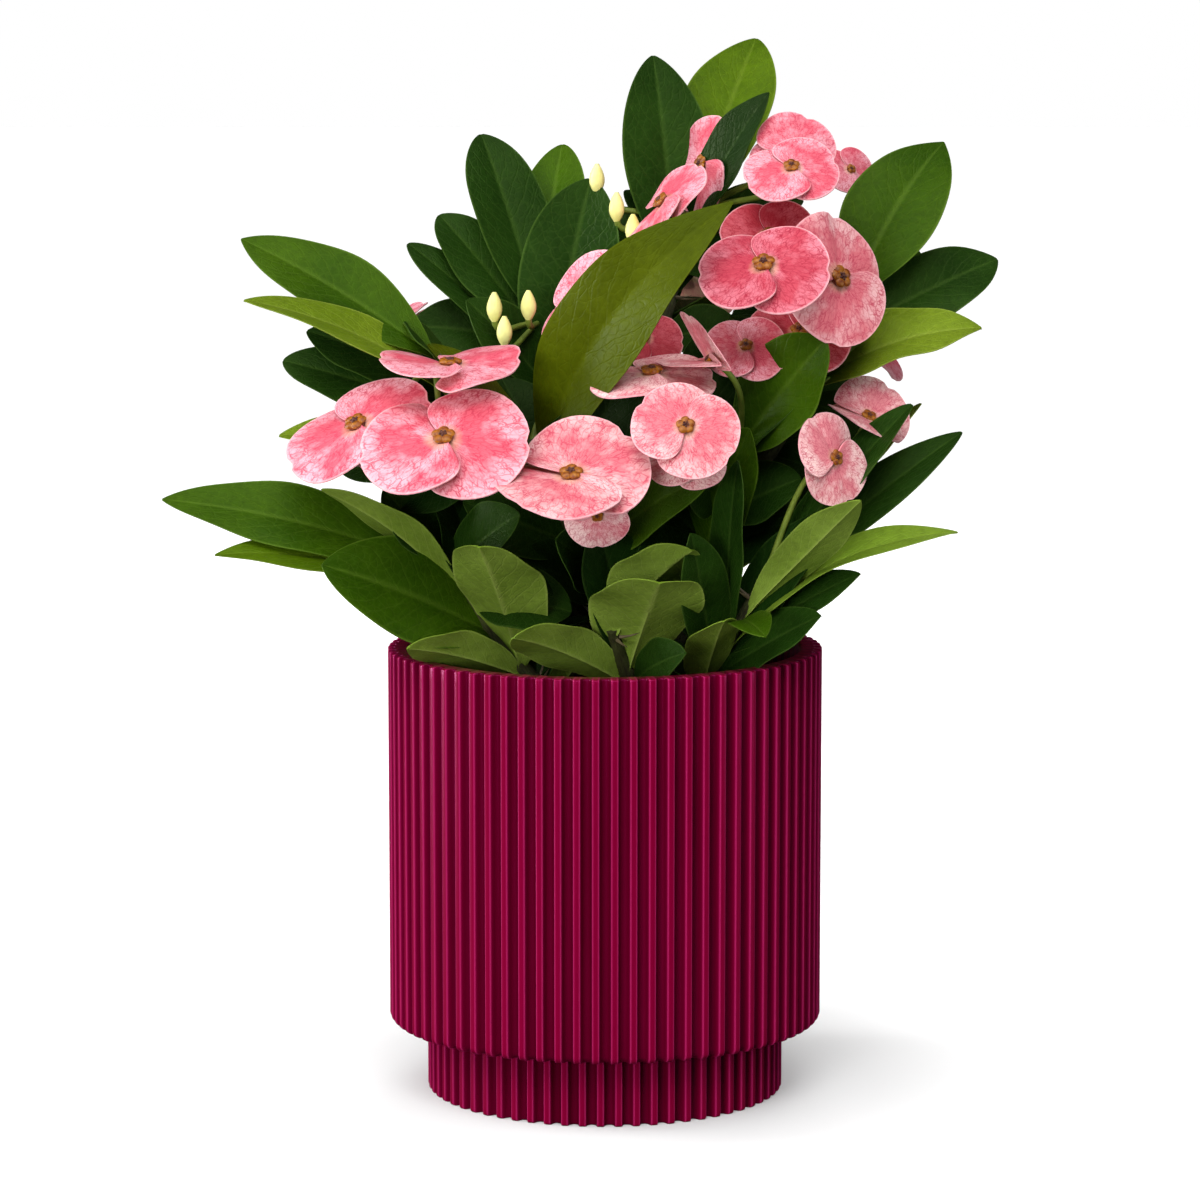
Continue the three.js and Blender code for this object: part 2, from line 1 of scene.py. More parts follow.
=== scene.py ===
"""Potted crown of thorns: a leafy shrub with pink blossom in a ribbed pot.

The plant's rows and rules are those of its solids, in millimetres, and each mesh is made in metres.
"""

from math import cos, pi, radians, sin, sqrt, tau

import bpy
import numpy as np
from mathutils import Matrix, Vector, noise
from mathutils.bvhtree import BVHTree


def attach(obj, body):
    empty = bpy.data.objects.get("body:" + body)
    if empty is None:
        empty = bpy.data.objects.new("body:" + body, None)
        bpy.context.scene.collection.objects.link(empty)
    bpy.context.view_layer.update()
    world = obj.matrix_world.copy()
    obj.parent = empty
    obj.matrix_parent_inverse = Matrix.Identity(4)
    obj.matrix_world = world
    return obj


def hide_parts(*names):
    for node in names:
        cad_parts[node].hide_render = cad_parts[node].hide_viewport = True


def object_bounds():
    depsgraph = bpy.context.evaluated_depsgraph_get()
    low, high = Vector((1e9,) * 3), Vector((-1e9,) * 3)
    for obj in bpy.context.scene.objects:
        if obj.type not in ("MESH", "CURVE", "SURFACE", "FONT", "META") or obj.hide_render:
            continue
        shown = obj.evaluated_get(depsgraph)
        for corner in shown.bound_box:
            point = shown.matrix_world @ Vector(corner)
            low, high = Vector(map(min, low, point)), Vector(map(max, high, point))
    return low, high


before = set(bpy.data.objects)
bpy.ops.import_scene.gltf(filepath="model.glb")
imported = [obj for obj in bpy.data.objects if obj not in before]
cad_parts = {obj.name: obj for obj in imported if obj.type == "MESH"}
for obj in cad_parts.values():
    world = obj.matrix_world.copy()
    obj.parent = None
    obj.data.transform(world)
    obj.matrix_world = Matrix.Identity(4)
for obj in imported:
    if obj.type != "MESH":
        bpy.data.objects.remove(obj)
solid_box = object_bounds()

MM = 0.001
UP = np.array([0.0, 0.0, 1.0])

# Pot
POT_RADIUS = 70.0
POT_HEIGHT = 144.5
POT_RIBS = 74
POT_EDGE = 2.2
POT_RIM_EDGE = 0.7
POT_RIM_INSET = 0.9
FOOT_RADIUS = 57.7
FOOT_HEIGHT = 23.0
FOOT_RIBS = 63
FOOT_EDGE = 1.0
RIB_DEPTH = 2.6
# Half a rib from the middle of its crest: (share of the pitch, share of the depth)
RIB_SECTION = [
    (0, 0), (0.12, 0.005), (0.165, 0.04), (0.195, 0.13), (0.215, 0.28), (0.24, 0.5), (0.27, 0.68),
    (0.31, 0.82), (0.36, 0.92), (0.42, 0.98), (0.5, 1),
]
POT_WALL = 4.6
POT_FLOOR = 5.0
SOIL_TOP = 128.0
BORE_RADIUS = POT_RADIUS - RIB_DEPTH - POT_WALL
CAVITY_FLOOR = FOOT_HEIGHT + POT_FLOOR
LIP_RADIUS = 1.2
AXIS_RADIUS = 0.2
GAP = 0.3

# Potting mix
SOIL_SEED = 5
SOIL_SIDES = 120
SOIL_RINGS = 34
SOIL_LUMP = 5
SOIL_WAVE = 1.3
SOIL_DIP = 0.6
CRUMBS = 260
CRUMB_SIZE = (0.7, 2.0)
CRUMB_PROFILE = (0.4, 0.85, 1.0, 0.8, 0.35)
CRUMB_INSET = 3

# Main stem: rings of height above the soil and radius, and how far it leans for each millimetre up
STEM_FOOT = np.array([0.0, 0.0, SOIL_TOP])
STEM_LEAN = np.array([0.05, 0.04, 1.0])
STEM_RINGS = [(0, 13.5), (2.5, 10.6), (7, 8.8), (15, 8.0), (23, 7.6), (27, 5.6)]
STEM_STEPS = 40
STEM_SIDES = 32
# How deep the bark is, as a share of the radius, and how fine
STEM_BARK = (0.14, 0.45)

# Boughs, the stems inside the masses, spines and stalks
TUBE_CAP = 0.05
TUBE_UNROLL = 10
BOUGH_ROOT_RADIUS = 4.4
BOUGH_STEPS = 40
BOUGH_SIDES = 14
BOUGH_BARK = (0.16, 0.9)
FORK_DEPTH = 5.0
BOUGH_OUT = 0.22
BOUGH_RISE = 0.2
BOUGH_END = 0.35
SHOOT_RADIUS = 3.0
SHOOT_TIP_RADIUS = 1.7
SHOOT_STEPS = 18
SPINE_SEED = 31
SPINE_SPACING = 4
SPINE_SWING = 22
SPINE_LENGTH = (4.5, 8)
SPINE_RADII = (0.62, 0.55, 0.42, 0.3, 0.18, 0.06)
STALK_RADIUS = 0.95
STALK_SIDES = 8
STALK_SINK = 2.5
STALK_OUT = 0.18
STALK_AHEAD = 0.14
STALK_END = 0.35

# Leaves
LEAF_SEED = 17
# Pointedness and bow of the leaves whose rows leave them out
LEAF_REST = (0.4, 0.05)
LEAF_FOLD = 0.2
LEAF_RIPPLE = 0.09
PETIOLE_HALF_WIDTH = 1.2
ROOT_START = 0.8
LEAF_ALONG = 34
LEAF_ACROSS = (-1, -0.85, -0.65, -0.45, -0.25, -0.09, 0, 0.09, 0.25, 0.45, 0.65, 0.85, 1)
LEAF_EDGE = 0.3
LEAF_BODY = 0.55
MIDRIB_RISE = 0.7
MIDRIB_GROOVE = 0.16

# Blossom
BLOSSOM_SEED = 71
BRACT_SPAN = 118.0
BRACT_CUP = -0.1
BRACT_WAVE = 0.05
BRACT_RUFFLE = 0.022
BRACT_CREASE = -0.035
BRACT_STRETCH = 1.06
BRACT_ALONG = 14
BRACT_AROUND = 49
BRACT_THICKNESS = 0.45
PINWHEEL = 0.13
# A bloom of this diameter has small flowers of scale 1, and no bloom has larger ones than the limit
CUP_DIAMETER = 36
CUP_SCALE_LIMIT = 1.12
BUD_RADIUS = 2.5
BUD_LENGTH = 9.5
BUD_PROFILE = (0.34, 0.66, 0.88, 1.0, 1.0, 0.91, 0.74, 0.52, 0.24)

# Headings go from +X towards +Y. The stem of each mass is (height of its fork, foot, apex)
STEMS = {
    "left_rear": (24, (-15, 14, 213), (-21, 22, 248)),
    "top": (26, (16, 18, 238), (28, 28, 281)),
    "right": (22, (55, 2, 211), (79, 8, 255)),
    "left": (18, (-35, -12, 206), (-53, -24, 240)),
    "centre": (27, (-2, -6, 163), (-24, -18, 213)),
    "mid_right": (25, (30, -6, 170), (43, -18, 213)),
    "left_low": (8, (-25, -20, 138), (-52, -28, 175)),
    "right_low": (7, (30, -22, 132), (49, -30, 168)),
    "front": (9, (9, -26, 134), (2, -42, 156)),
}

# (tone, place along the stem, heading, lift, length, width, roll), and any pointedness and bow
LEAVES = {
    "left_rear": [
        ("dark", 0.95, 125, 60, 69, 27, -10, 0.35), ("dark", 0.75, 150, 46, 57, 24, -30, 0.35),
        ("dark", 0.45, 165, 42, 64, 20, -30, 0.35), ("dark", 0.35, 30, 78, 69, 33, 45, 0.35),
        ("mid", 1.0, 80, 54, 67, 24, -10), ("dark", 0.3, 195, 48, 42, 22, -60, 0.5),
    ],
    "top": [
        ("dark", 0.55, 110, 74, 73, 30, -5, 0.5, 0.03), ("bright", 1.0, 60, 52, 71, 30, 15, 0.5),
        ("deep", 0.85, 325, 56, 56, 20, 70, 0.7, 0.03), ("dark", 0.4, 145, 50, 36, 22, -35, 0.5),
        ("dark", 0.6, 30, 14, 23, 22, 50, 0.5),
    ],
    "right": [
        ("mid", 1.0, 45, 48, 66, 32, 30, 0.9, 0.08), ("mid", 0.8, 55, 26, 53, 22, 35, 0.5),
        ("dark", 0.7, 25, 22, 66, 25, 50, 0.5), ("lime", 0.35, 355, 20, 60, 30, 30, 0.7, 0.1),
        ("dark", 0.3, 25, -4, 26, 22, 50, 0.5), ("deep", 0.5, 145, 38, 35, 24, -40),
    ],
    "left": [
        ("mid", 1.0, 160, 28, 75, 26, -40, 0.75, 0.04),
        ("lime", 0.55, 195, 26, 77, 20, -30, 0.7, 0.08), ("dark", 0.5, 165, 24, 57, 24, -40, 0.5),
        ("dark", 0.4, 170, 16, 63, 24, -45, 0.35), ("lime", 0.2, 170, 0, 66, 16, -30),
        ("dark", 0.15, 190, -10, 46, 22, -45), ("deep", 0.05, 210, -24, 37, 24, -35),
        ("dark", 0.3, 265, -52, 26, 22, 25),
    ],
    "centre": [
        ("olive", 0.8, 330, 52, 110, 34, 80, 0.9, 0.15), ("mid", 0.2, 315, 30, 65, 26, 65, 0.5),
        ("deep", 0.6, 145, 60, 43, 26, -35), ("olive", 0.9, 190, 46, 49, 19, -30),
        ("dark", 0.3, 210, 22, 44, 24, -70), ("deep", 0.5, 35, 60, 59, 26, 25),
        ("dark", 0.1, 255, 22, 45, 22, -95), ("deep", 0.0, 225, 20, 37, 22, -60),
        ("deep", 0.2, 355, 52, 53, 22, 60),
    ],
    "mid_right": [
        ("mid", 0.9, 330, 50, 48, 30, 80, 0.3), ("dark", 0.6, 330, 46, 53, 16, 30, 0.5),
        ("mid", 0.1, 295, 54, 54, 24, 120, 0.4, 0.04), ("deep", 0.7, 115, 64, 48, 24, 0),
        ("dark", 0.4, 340, 26, 31, 22, 55), ("deep", 0.2, 210, 42, 33, 22, -80),
        ("deep", 0.0, 240, 12, 40, 22, -70), ("deep", 0.1, 345, 22, 34, 22, 60),
        ("dark", 0.5, 245, 30, 29, 20, -105),
    ],
    "left_low": [
        ("mid", 0.95, 180, 14, 91, 24, -50, 0.75),
        ("bright", 0.65, 190, 12, 82, 20, -30, 0.75, 0.08),
        ("mid", 0.35, 205, 24, 64, 34, -65, 0.5), ("pale", 0.75, 210, 36, 60, 18, 20, 0.6),
        ("dark", 1.0, 185, 54, 29, 20, -50), ("dark", 0.9, 320, 36, 36, 22, 70, 0.5),
        ("pale", 0.05, 255, 44, 65, 30, -5, 0.15, 0.06),
        ("dark", 0.6, 345, 0, 31, 24, 45, 0.3, 0.15), ("pale", 0.0, 220, 16, 49, 18, 45, 0.6),
        ("deep", 0.6, 145, 74, 41, 28, -5),
    ],
    "right_low": [
        ("dark", 0.9, 10, 50, 78, 18, 25, 0.3, 0.03), ("dark", 0.8, 20, 36, 90, 18, 35, 0.5, 0.03),
        ("lime", 0.95, 40, 38, 89, 16, -5, 0.4, 0.03),
        ("pale", 0.3, 345, 30, 88, 22, 20, 0.7, 0.12),
        ("pale", 0.75, 310, 38, 66, 16, -35, 0.6, 0.04),
        ("dark", 0.35, 335, 32, 55, 16, 50, 0.5, 0.03),
        ("dark", 0.1, 320, 30, 52, 20, 55, 0.5, 0.02), ("mid", 0.6, 280, 6, 44, 14, 15, 0.4, 0.1),
        ("pale", 0.0, 280, 38, 47, 18, 15, 0.3), ("dark", 0.5, 275, 72, 62, 16, 125, 0.5, 0.04),
        ("dark", 0.2, 255, 60, 55, 20, -125, 0.5, 0.04),
        ("deep", 0.3, 345, 54, 60, 20, 60, 0.4, 0.04),
    ],
    "front": [
        ("pale", 0.1, 225, 22, 55, 20, 40, 0.3, 0.06),
        ("pale", 0.3, 285, 42, 50, 36, -5, 0.1, 0.06),
        ("pale", 0.95, 335, 46, 38, 30, -25, 0.1, 0.06), ("deep", 0.5, 210, 78, 45, 24, -85, 0.3),
        ("dark", 0.1, 295, 22, 41, 16, 80),
    ],
}

# (tint, heading, lift and reach of its stalk, diameter, heading and lift it faces, spin), and any tilt
BLOOMS = {
    "top": [
        ("rose", 310, 20, 51, 29, 270, 50, 20), ("rose", 325, 30, 45, 28, 270, 36, 70),
        ("rose", 310, 72, 18, 31, 215, 15, 80), ("rose", 250, 12, 29, 32, 200, 40, 90),
        ("rose", 5, 16, 54, 18, 300, 30, 0), ("coral", 305, -6, 42, 30, 270, 35, 0),
    ],
    "right": [
        ("deep_rose", 240, 14, 62, 39, 262, 50, 5), ("blush", 260, 16, 36, 41, 308, 18, 75),
        ("coral", 235, -14, 32, 32, 270, 45, 0),
    ],
    "left": [
        ("rose", 275, -28, 46, 50, 262, 54, 8), ("rose", 220, -32, 37, 46, 235, 54, 45),
        ("rose", 285, -4, 19, 43, 270, 82, 0, 14),
    ],
    "centre": [
        ("blush", 285, -6, 53, 48, 265, 60, 50, 15), ("rose", 40, 60, 48, 38, 228, 30, 80),
        ("coral", 15, 40, 49, 24, 270, 50, 0), ("pale", 300, -24, 47, 22, 270, -15, 90),
    ],
    "mid_right": [
        ("blush", 250, 10, 55, 32, 270, 34, -35), ("pale", 220, 32, 44, 38, 270, 74, 10),
        ("rose", 280, 78, 31, 25, 270, 40, 0), ("pale", 245, 50, 35, 36, 190, 30, 90, 62),
        ("pale", 245, -2, 43, 24, 270, 50, 0),
    ],
    "right_low": [
        ("pale", 340, 60, 48, 28, 312, 14, -72), ("pale", 30, 52, 65, 28, 300, 50, 40, 30),
    ],
}

# (heading, lift, reach)
BUDS = {
    "left_rear": [(235, 2, 25), (260, 4, 20), (245, -14, 27)],
    "top": [(210, -2, 28), (190, 14, 32), (225, -16, 28)],
}

# Masses at the back, whose leaves follow a spiral: (stem, seed, leaves, heading outwards, blooms)
REAR_STEMS = {
    "rear_left": ((20, (-32, 26, 176), (-50, 44, 216)), 11, 12, 135, 2),
    "rear_middle": ((21, (4, 36, 196), (6, 52, 238)), 23, 12, 85, 2),
    "rear_right": ((19, (36, 26, 180), (58, 42, 220)), 37, 12, 40, 2),
    "rear_low_left": ((10, (-20, 24, 138), (-34, 44, 164)), 41, 9, 125, 0),
    "rear_low_right": ((11, (22, 26, 138), (38, 44, 166)), 59, 9, 55, 0),
}
SPIRAL_TURN = 137.5
REAR_LENGTH = (50, 66)
REAR_WIDTH = (20, 27)
REAR_LIFT = (4, 50)
REAR_SWAY = (-12, 12)
REAR_NOD = (-8, 8)
REAR_ROLL = (-15, 15)
REAR_POINTED = (0.3, 0.7)
REAR_FRONT_LIMIT = 4
REAR_FACE_LIFT = 50
CROWN_TOP = 318
# Heading from the outward one, and lift and reach of the stalk, and diameter
REAR_BLOOMS = ((-48, 40, 34, 38), (42, 46, 36, 36))
REAR_TONES = ("dark", "mid", "dark", "deep", "bright")

# Small leaves between the large ones, which skip what they would touch
FILL_SEED = 7
FILL_COUNT = 44
FILL_ALONG = (-0.25, 0.95)
FILL_LENGTH = (24, 40)
FILL_WIDTH = (13, 20)
FILL_LIFT = (-6, 58)
# Fill leaves mostly take the deep tone, painted shade for leaves inside the crown
FILL_TONES = ("deep", "deep", "dark")
FILL_FRONT_LIMIT = -0.3
FILL_TEST_START = 0.3
BUD_CLEAR = 11
SKIRT_HEIGHT = 160
SKIRT_REACH = 70
WALL_CLEAR = 1

# Small leaves for gaps between the large ones, in the same order as the leaves of a mass
GAP_LEAVES = {
    "left_rear": [("dark", 0.75, 172, 8, 44, 22, -60)],
    "top": [
        ("dark", 0.1, 350, 8, 26, 18, 60), ("deep", 0.1, 10, 0, 28, 18, 60),
        ("dark", 1.0, 0, 8, 36, 16, 60), ("deep", 0.8, 350, 15, 36, 16, 60),
    ],
    "right": [
        ("deep", -0.1, 340, -15, 20, 16, 60), ("dark", 0.0, 10, 0, 30, 16, 60),
        ("dark", 0.3, 355, -20, 30, 16, 60), ("deep", -0.2, 350, -40, 22, 16, 60),
    ],
    "rear_left": [("dark", 0.95, 100, 72, 38, 24, 0), ("dark", 1.0, 150, 80, 34, 20, -40)],
    "rear_right": [("deep", 0.9, 170, 40, 34, 20, -60), ("dark", 1.0, 185, 42, 34, 20, -60)],
}

# How much of a leaf's foot the tests pass over, and what they keep of the rest
TEST_START = 0.16
TEST_ROWS = 9
TEST_COLUMNS = [0, 3, 6, 9, 12]


def mix(ends, share):
    return ends[0] + (ends[1] - ends[0]) * share


def unit(way):
    return way / np.linalg.norm(way)


def aim(heading, lift):
    heading, lift = radians(heading), radians(lift)
    return np.array([cos(lift) * cos(heading), cos(lift) * sin(heading), sin(lift)])


def turned(way, axis, angle):
    """way, turned about a unit axis by an angle in degrees."""
    cosine, sine = cos(radians(angle)), sin(radians(angle))
    return way * cosine + np.cross(axis, way) * sine + axis * axis.dot(way) * (1 - cosine)


def seeded(seed):
    """Small repeatable random numbers from 0 to 1, the same as in the solids."""
    state = seed
    while True:
        state = (state * 1664525 + 1013904223) % 4294967296
        yield state / 4294967296


def placed(name, data):
    """A new object in the scene."""
    made = bpy.data.objects.new(name, data)
    bpy.context.scene.collection.objects.link(made)
    return made


# Meshes


class Batch:
    """Vertices, UVs, faces and material numbers that become one piece."""

    def __init__(self):
        self.parts = []
        self.count = 0

    def add(self, points, uvs, faces, slots):
        slots = np.broadcast_to(slots, len(faces))
        self.parts.append((points.reshape(-1, 3), uvs.reshape(-1, 2), faces + self.count, slots))
        self.count += len(self.parts[-1][0])

    def drum(self, rings, uvs, slot):
        """A closed body over rings of points, with its first and last ring capped."""
        count, sides = rings.shape[:2]
        faces = [grid_faces(count, sides, closed=True)]
        even = np.arange(1, sides - 2, 2)
        for ring in (np.arange(sides)[::-1], np.arange(sides) + (count - 1) * sides):
            hub = np.full(len(even), ring[0])
            faces.append(np.stack([hub, ring[even], ring[even + 1], ring[even + 2]], axis=1))
        self.add(rings, uvs, np.concatenate(faces), slot)

    def skin(self, top, bottom, uvs, slots):
        """A thin closed body between two grids; slots are those of its top, bottom and border."""
        rows, columns = top.shape[:2]
        total = rows * columns
        numbers = np.arange(total).reshape(rows, columns)
        near = np.concatenate([numbers[:-1, 0], numbers[-1, :-1], numbers[:0:-1, -1], numbers[0, :0:-1]])
        after = np.roll(near, -1)
        border = np.stack([near, after, after + total, near + total], axis=1)
        sides = [grid_faces(rows, columns), grid_faces(rows, columns)[:, ::-1] + total, border]
        kinds = np.repeat(slots, [len(side) for side in sides])
        self.add(np.array([top, bottom]), np.array([uvs, uvs]), np.concatenate(sides), kinds)

    def piece(self, name, materials, slot, *nodes, sharp=50):
        """One mesh of all that was added, in place of the solids of its nodes."""
        mesh = bpy.data.meshes.new(name)
        points, uvs, faces, slots = (np.concatenate(part) for part in zip(*self.parts))
        mesh.from_pydata((points * MM).tolist(), [], faces.tolist())
        layer = mesh.uv_layers.new(name="UVMap")
        layer.data.foreach_set("uv", uvs[faces.ravel()].astype(np.float32).ravel())
        for material in materials:
            mesh.materials.append(material)
        mesh.polygons.foreach_set("material_index", slots.astype(np.int32))
        mesh.polygons.foreach_set("use_smooth", np.ones(len(faces), bool))
        mesh.set_sharp_from_angle(angle=radians(sharp))
        mesh.update()
        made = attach(placed(name, mesh), "root")
        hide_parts(*nodes)


def grid_faces(rows, columns, closed=False):
    """Faces over a grid of points; closed joins each row's end to its start."""
    row, column = np.indices((rows - 1, columns if closed else columns - 1)).reshape(2, -1)
    after = (column + 1) % columns
    near, far = row * columns, (row + 1) * columns
    return np.stack([near + column, near + after, far + after, far + column], axis=1)


def circle(sides, across, over):
    """Points round a circle of radius 1, in the plane of two directions."""
    turns = np.arange(sides) / sides * tau
    return np.outer(np.cos(turns), across) + np.outer(np.sin(turns), over)


def ring_uvs(rounds, heights):
    return np.stack(np.meshgrid(rounds, heights), axis=-1)


def add_tube(batch, path, radii, sides, slot):
    """A closed tube, whose rings turn as little as possible from one to the next."""
    ways = np.gradient(path, axis=0)
    ways /= np.linalg.norm(ways, axis=1)[:, None]
    across = np.cross(ways[0], [0.31, 0.87, 0.38])
    rings = []
    for centre, way, radius in zip(path, ways, radii):
        across = unit(across - way * across.dot(way))
        ring = circle(sides, across, np.cross(way, across))
        rings.append(centre + ring * np.reshape(radius, (-1, 1)))
    # The ring at each end shrinks to a small cap
    ends = [path[i] + (rings[i] - path[i]) * TUBE_CAP for i in (0, -1)]
    steps = np.linalg.norm(np.diff(path, axis=0), axis=1).cumsum() / TUBE_UNROLL
    steps = np.concatenate([[0, 0], steps, steps[-1:]])
    rounds = np.arange(sides) / sides
    batch.drum(np.array([ends[0], *rings, ends[1]]), ring_uvs(rounds, steps), slot)


def add_ball(batch, centre, up, width, height, slot, sides=12, rows=7):
    """A closed, flattened ball."""
    across = unit(np.cross(up, [0.3, 0.9, 0.31]))
    ring = circle(sides, across, np.cross(up, across))
    lifts = np.linspace(-0.97, 0.97, rows) * pi / 2
    rings = [centre + ring * width * cos(lift) + up * height * sin(lift) for lift in lifts]
    batch.drum(np.array(rings), ring_uvs(np.arange(sides) / sides, np.linspace(0, 1, rows)), slot)


def bezier(start, leaving, arriving, end, count):
    share = np.linspace(0, 1, count)[:, None]
    rest = 1 - share
    return start * rest**3 + 3 * leaving * rest**2 * share + 3 * arriving * rest * share**2 + end * share**3


# Colours and materials


def rgb(*colour):
    """A linear colour from one given as 0 to 255."""
    shares = np.array(colour) / 255
    linear = np.where(shares <= 0.04045, shares / 12.92, ((shares + 0.055) / 1.055) ** 2.4)
    return (*linear.tolist(), 1.0)


class Shader:
    """A material and short ways to add its nodes."""

    def __init__(self, name, roughness, **settings):
        self.material = bpy.data.materials.new(name)
        self.material.use_nodes = True
        self.nodes = self.material.node_tree.nodes
        self.links = self.material.node_tree.links
        self.surface = self.nodes["Principled BSDF"]
        self.surface.inputs["Roughness"].default_value = roughness
        for key, value in settings.items():
            self.surface.inputs[key.replace("_", " ")].default_value = value
        places = self.node("TexCoord", {}).outputs
        self.uv = places["UV"]
        self.spot = places["Object"]

    def put(self, socket, value):
        if isinstance(value, bpy.types.NodeSocket):
            self.links.new(value, socket)
        else:
            socket.default_value = value

    def node(self, kind, inputs, **settings):
        made = self.nodes.new(f"ShaderNode{kind}")
        for key, value in settings.items():
            setattr(made, key, value)
        for name, value in inputs.items():
            self.put(made.inputs[name], value)
        return made

    def split(self, vector):
        made = self.node("SeparateXYZ", {"Vector": vector})
        return made.outputs["X"], made.outputs["Y"]

    def maths(self, operation, first, second=0.0, third=0.0):
        inputs = {0: first, 1: second, 2: third}
        return self.node("Math", inputs, operation=operation).outputs[0]

    def times(self, first, second, rest=0.0):
        return self.maths("MULTIPLY_ADD", first, second, rest)

    def aside(self, value):
        """How far a value lies from a half."""
        return self.maths("ABSOLUTE", self.maths("SUBTRACT", value, 0.5))

    def noise(self, vector, scale, detail=3.0, roughness=0.5):
        inputs = {"Vector": vector, "Scale": scale, "Detail": detail, "Roughness": roughness}
        return self.node("TexNoise", inputs).outputs["Fac"]

    def streaks(self, along, across, detail=3.0, roughness=0.5):
        """Noise that is stretched over the UVs."""
        return self.noise(self.stretch(self.uv, (along, across, 1)), 1.0, detail, roughness)

    def net(self, along, across, sway):
        """A fine net of lines over the UVs, as veins make, its cells bent by noise."""
        vector = self.stretch(self.uv, (along, across, 1))
        bend = self.node("TexNoise", {"Vector": vector, "Scale": 0.7, "Detail": 2.0})
        moved = self.node("VectorMath", {0: bend.outputs["Color"], 1: (sway,) * 3, 2: vector},
                          operation="MULTIPLY_ADD")
        cells = self.node("TexVoronoi", {"Vector": moved.outputs["Vector"], "Scale": 1.0},
                          feature="DISTANCE_TO_EDGE")
        return self.ramp(cells.outputs["Distance"], (0.0, 1.0), (0.12, 0.0))

    def stretch(self, vector, scale):
        return self.node("Mapping", {"Vector": vector, "Scale": scale}).outputs["Vector"]

    def ramp(self, factor, *stops):
        """Colours or greys over a factor, from (place, value) pairs."""
        made = self.node("ValToRGB", {"Fac": factor})
        elements = made.color_ramp.elements
        while len(elements) < len(stops):
            elements.new(0.5)
        for element, (place, value) in zip(elements, stops):
            element.position = place
            element.color = value if isinstance(value, tuple) else (value, value, value, 1)
        return made.outputs["Color"]

    def blend(self, factor, first, second, kind="MIX"):
        made = self.node("Mix", {}, data_type="RGBA", blend_type=kind)
        for name, value in (("Factor", factor), ("A", first), ("B", second)):
            socket = next(each for each in made.inputs if each.name == name and each.enabled)
            self.put(socket, value)
        return next(each for each in made.outputs if each.enabled)

    def mottle(self, factor, start, end, first, second):
        """Two colours, the second where the factor is high."""
        return self.blend(self.ramp(factor, (start, 0.0), (end, 1.0)), first, second)

    def colour(self, value):
        self.put(self.surface.inputs["Base Color"], value)

    def rough(self, factor, low, high):
        self.put(self.surface.inputs["Roughness"], self.ramp(factor, (0, low), (1, high)))

    def bump(self, height, strength, distance):
        inputs = {"Height": height, "Strength": strength, "Distance": distance}
        self.put(self.surface.inputs["Normal"], self.node("Bump", inputs).outputs["Normal"])


def leaf_material(name, colours, roughness, gloss, vein_share):
    """A blade mottled between the first two colours, with ribs and a margin of the third."""
    body, light, vein = (rgb(*colour) for colour in colours)
    look = Shader(name, roughness, Specular_IOR_Level=gloss, Specular_Tint=(0.7, 1.0, 0.35, 1.0))
    along, across = look.split(look.uv)
    aside = look.aside(across)
    fine = look.noise(look.spot, 420.0, 3.0, 0.6)
    blade = look.mottle(look.noise(look.spot, 38.0, 2.0), 0.35, 0.7, body, light)
    blade = look.blend(1.0, blade, look.ramp(fine, (0.3, 0.84), (0.7, 1.1)), "MULTIPLY")
    # Side veins that sweep forward from the midrib
    wander = look.streaks(9, 3)
    phase = look.times(along, 10.0, look.times(wander, 0.9))
    phase = look.maths("SUBTRACT", phase, look.times(aside, 5.5))
    veins = look.ramp(look.aside(look.maths("FRACT", phase)), (0, 1.0), (0.09, 0.0))
    midrib = look.ramp(aside, (0.008, 1.0), (0.045, 0.0))
    cells = look.net(24, 11, 0.8)
    margin = look.ramp(aside, (0.472, 0.0), (0.492, 0.5))
    for lines, share in ((veins, vein_share), (midrib, vein_share * 2.4), (cells, 0.07), (margin, 1.0)):
        blade = look.blend(look.times(lines, share), blade, vein)
    look.colour(blade)
    look.rough(fine, roughness - 0.05, roughness + 0.1)
    relief = look.maths("ADD", look.times(veins, -0.5), look.times(fine, 0.5))
    look.bump(look.times(cells, -0.35, relief), 0.35, 0.0006)
    return look.material


# The deep tone is the dark one painted darker: painted shade for leaves inside the crown and under others
LEAF_TONES = {
    "dark": ((19, 42, 7), (29, 54, 11), (66, 92, 34)),
    "deep": ((11, 29, 5), (17, 40, 8), (44, 66, 24)),
    "mid": ((36, 62, 3), (50, 76, 5), (86, 112, 34)),
    "bright": ((56, 80, 3), (72, 96, 6), (106, 126, 36)),
    "olive": ((56, 66, 2), (66, 76, 4), (74, 84, 8)),
    "lime": ((84, 104, 16), (104, 124, 28), (140, 156, 66)),
    "pale": ((88, 114, 28), (104, 128, 38), (118, 140, 52)),
}
TONE_NAMES = list(LEAF_TONES)
LIGHT_TONES = ("bright", "olive", "lime", "pale")
UNDERSIDE_TONES = {
    "dark": ((76, 100, 30), (92, 116, 40), (120, 138, 62)),
    "light": ((96, 118, 38), (112, 134, 50), (138, 154, 74)),
}


def leaf_materials():
    """The materials of the tones in their order, and then of the undersides."""
    made = [leaf_material(f"leaf_{tone}", colours, 0.4, 0.12, 0.1) for tone, colours in LEAF_TONES.items()]
    for tone, colours in UNDERSIDE_TONES.items():
        made.append(leaf_material(f"leaf_under_{tone}", colours, 0.55, 0.06, 0.22))
    return made


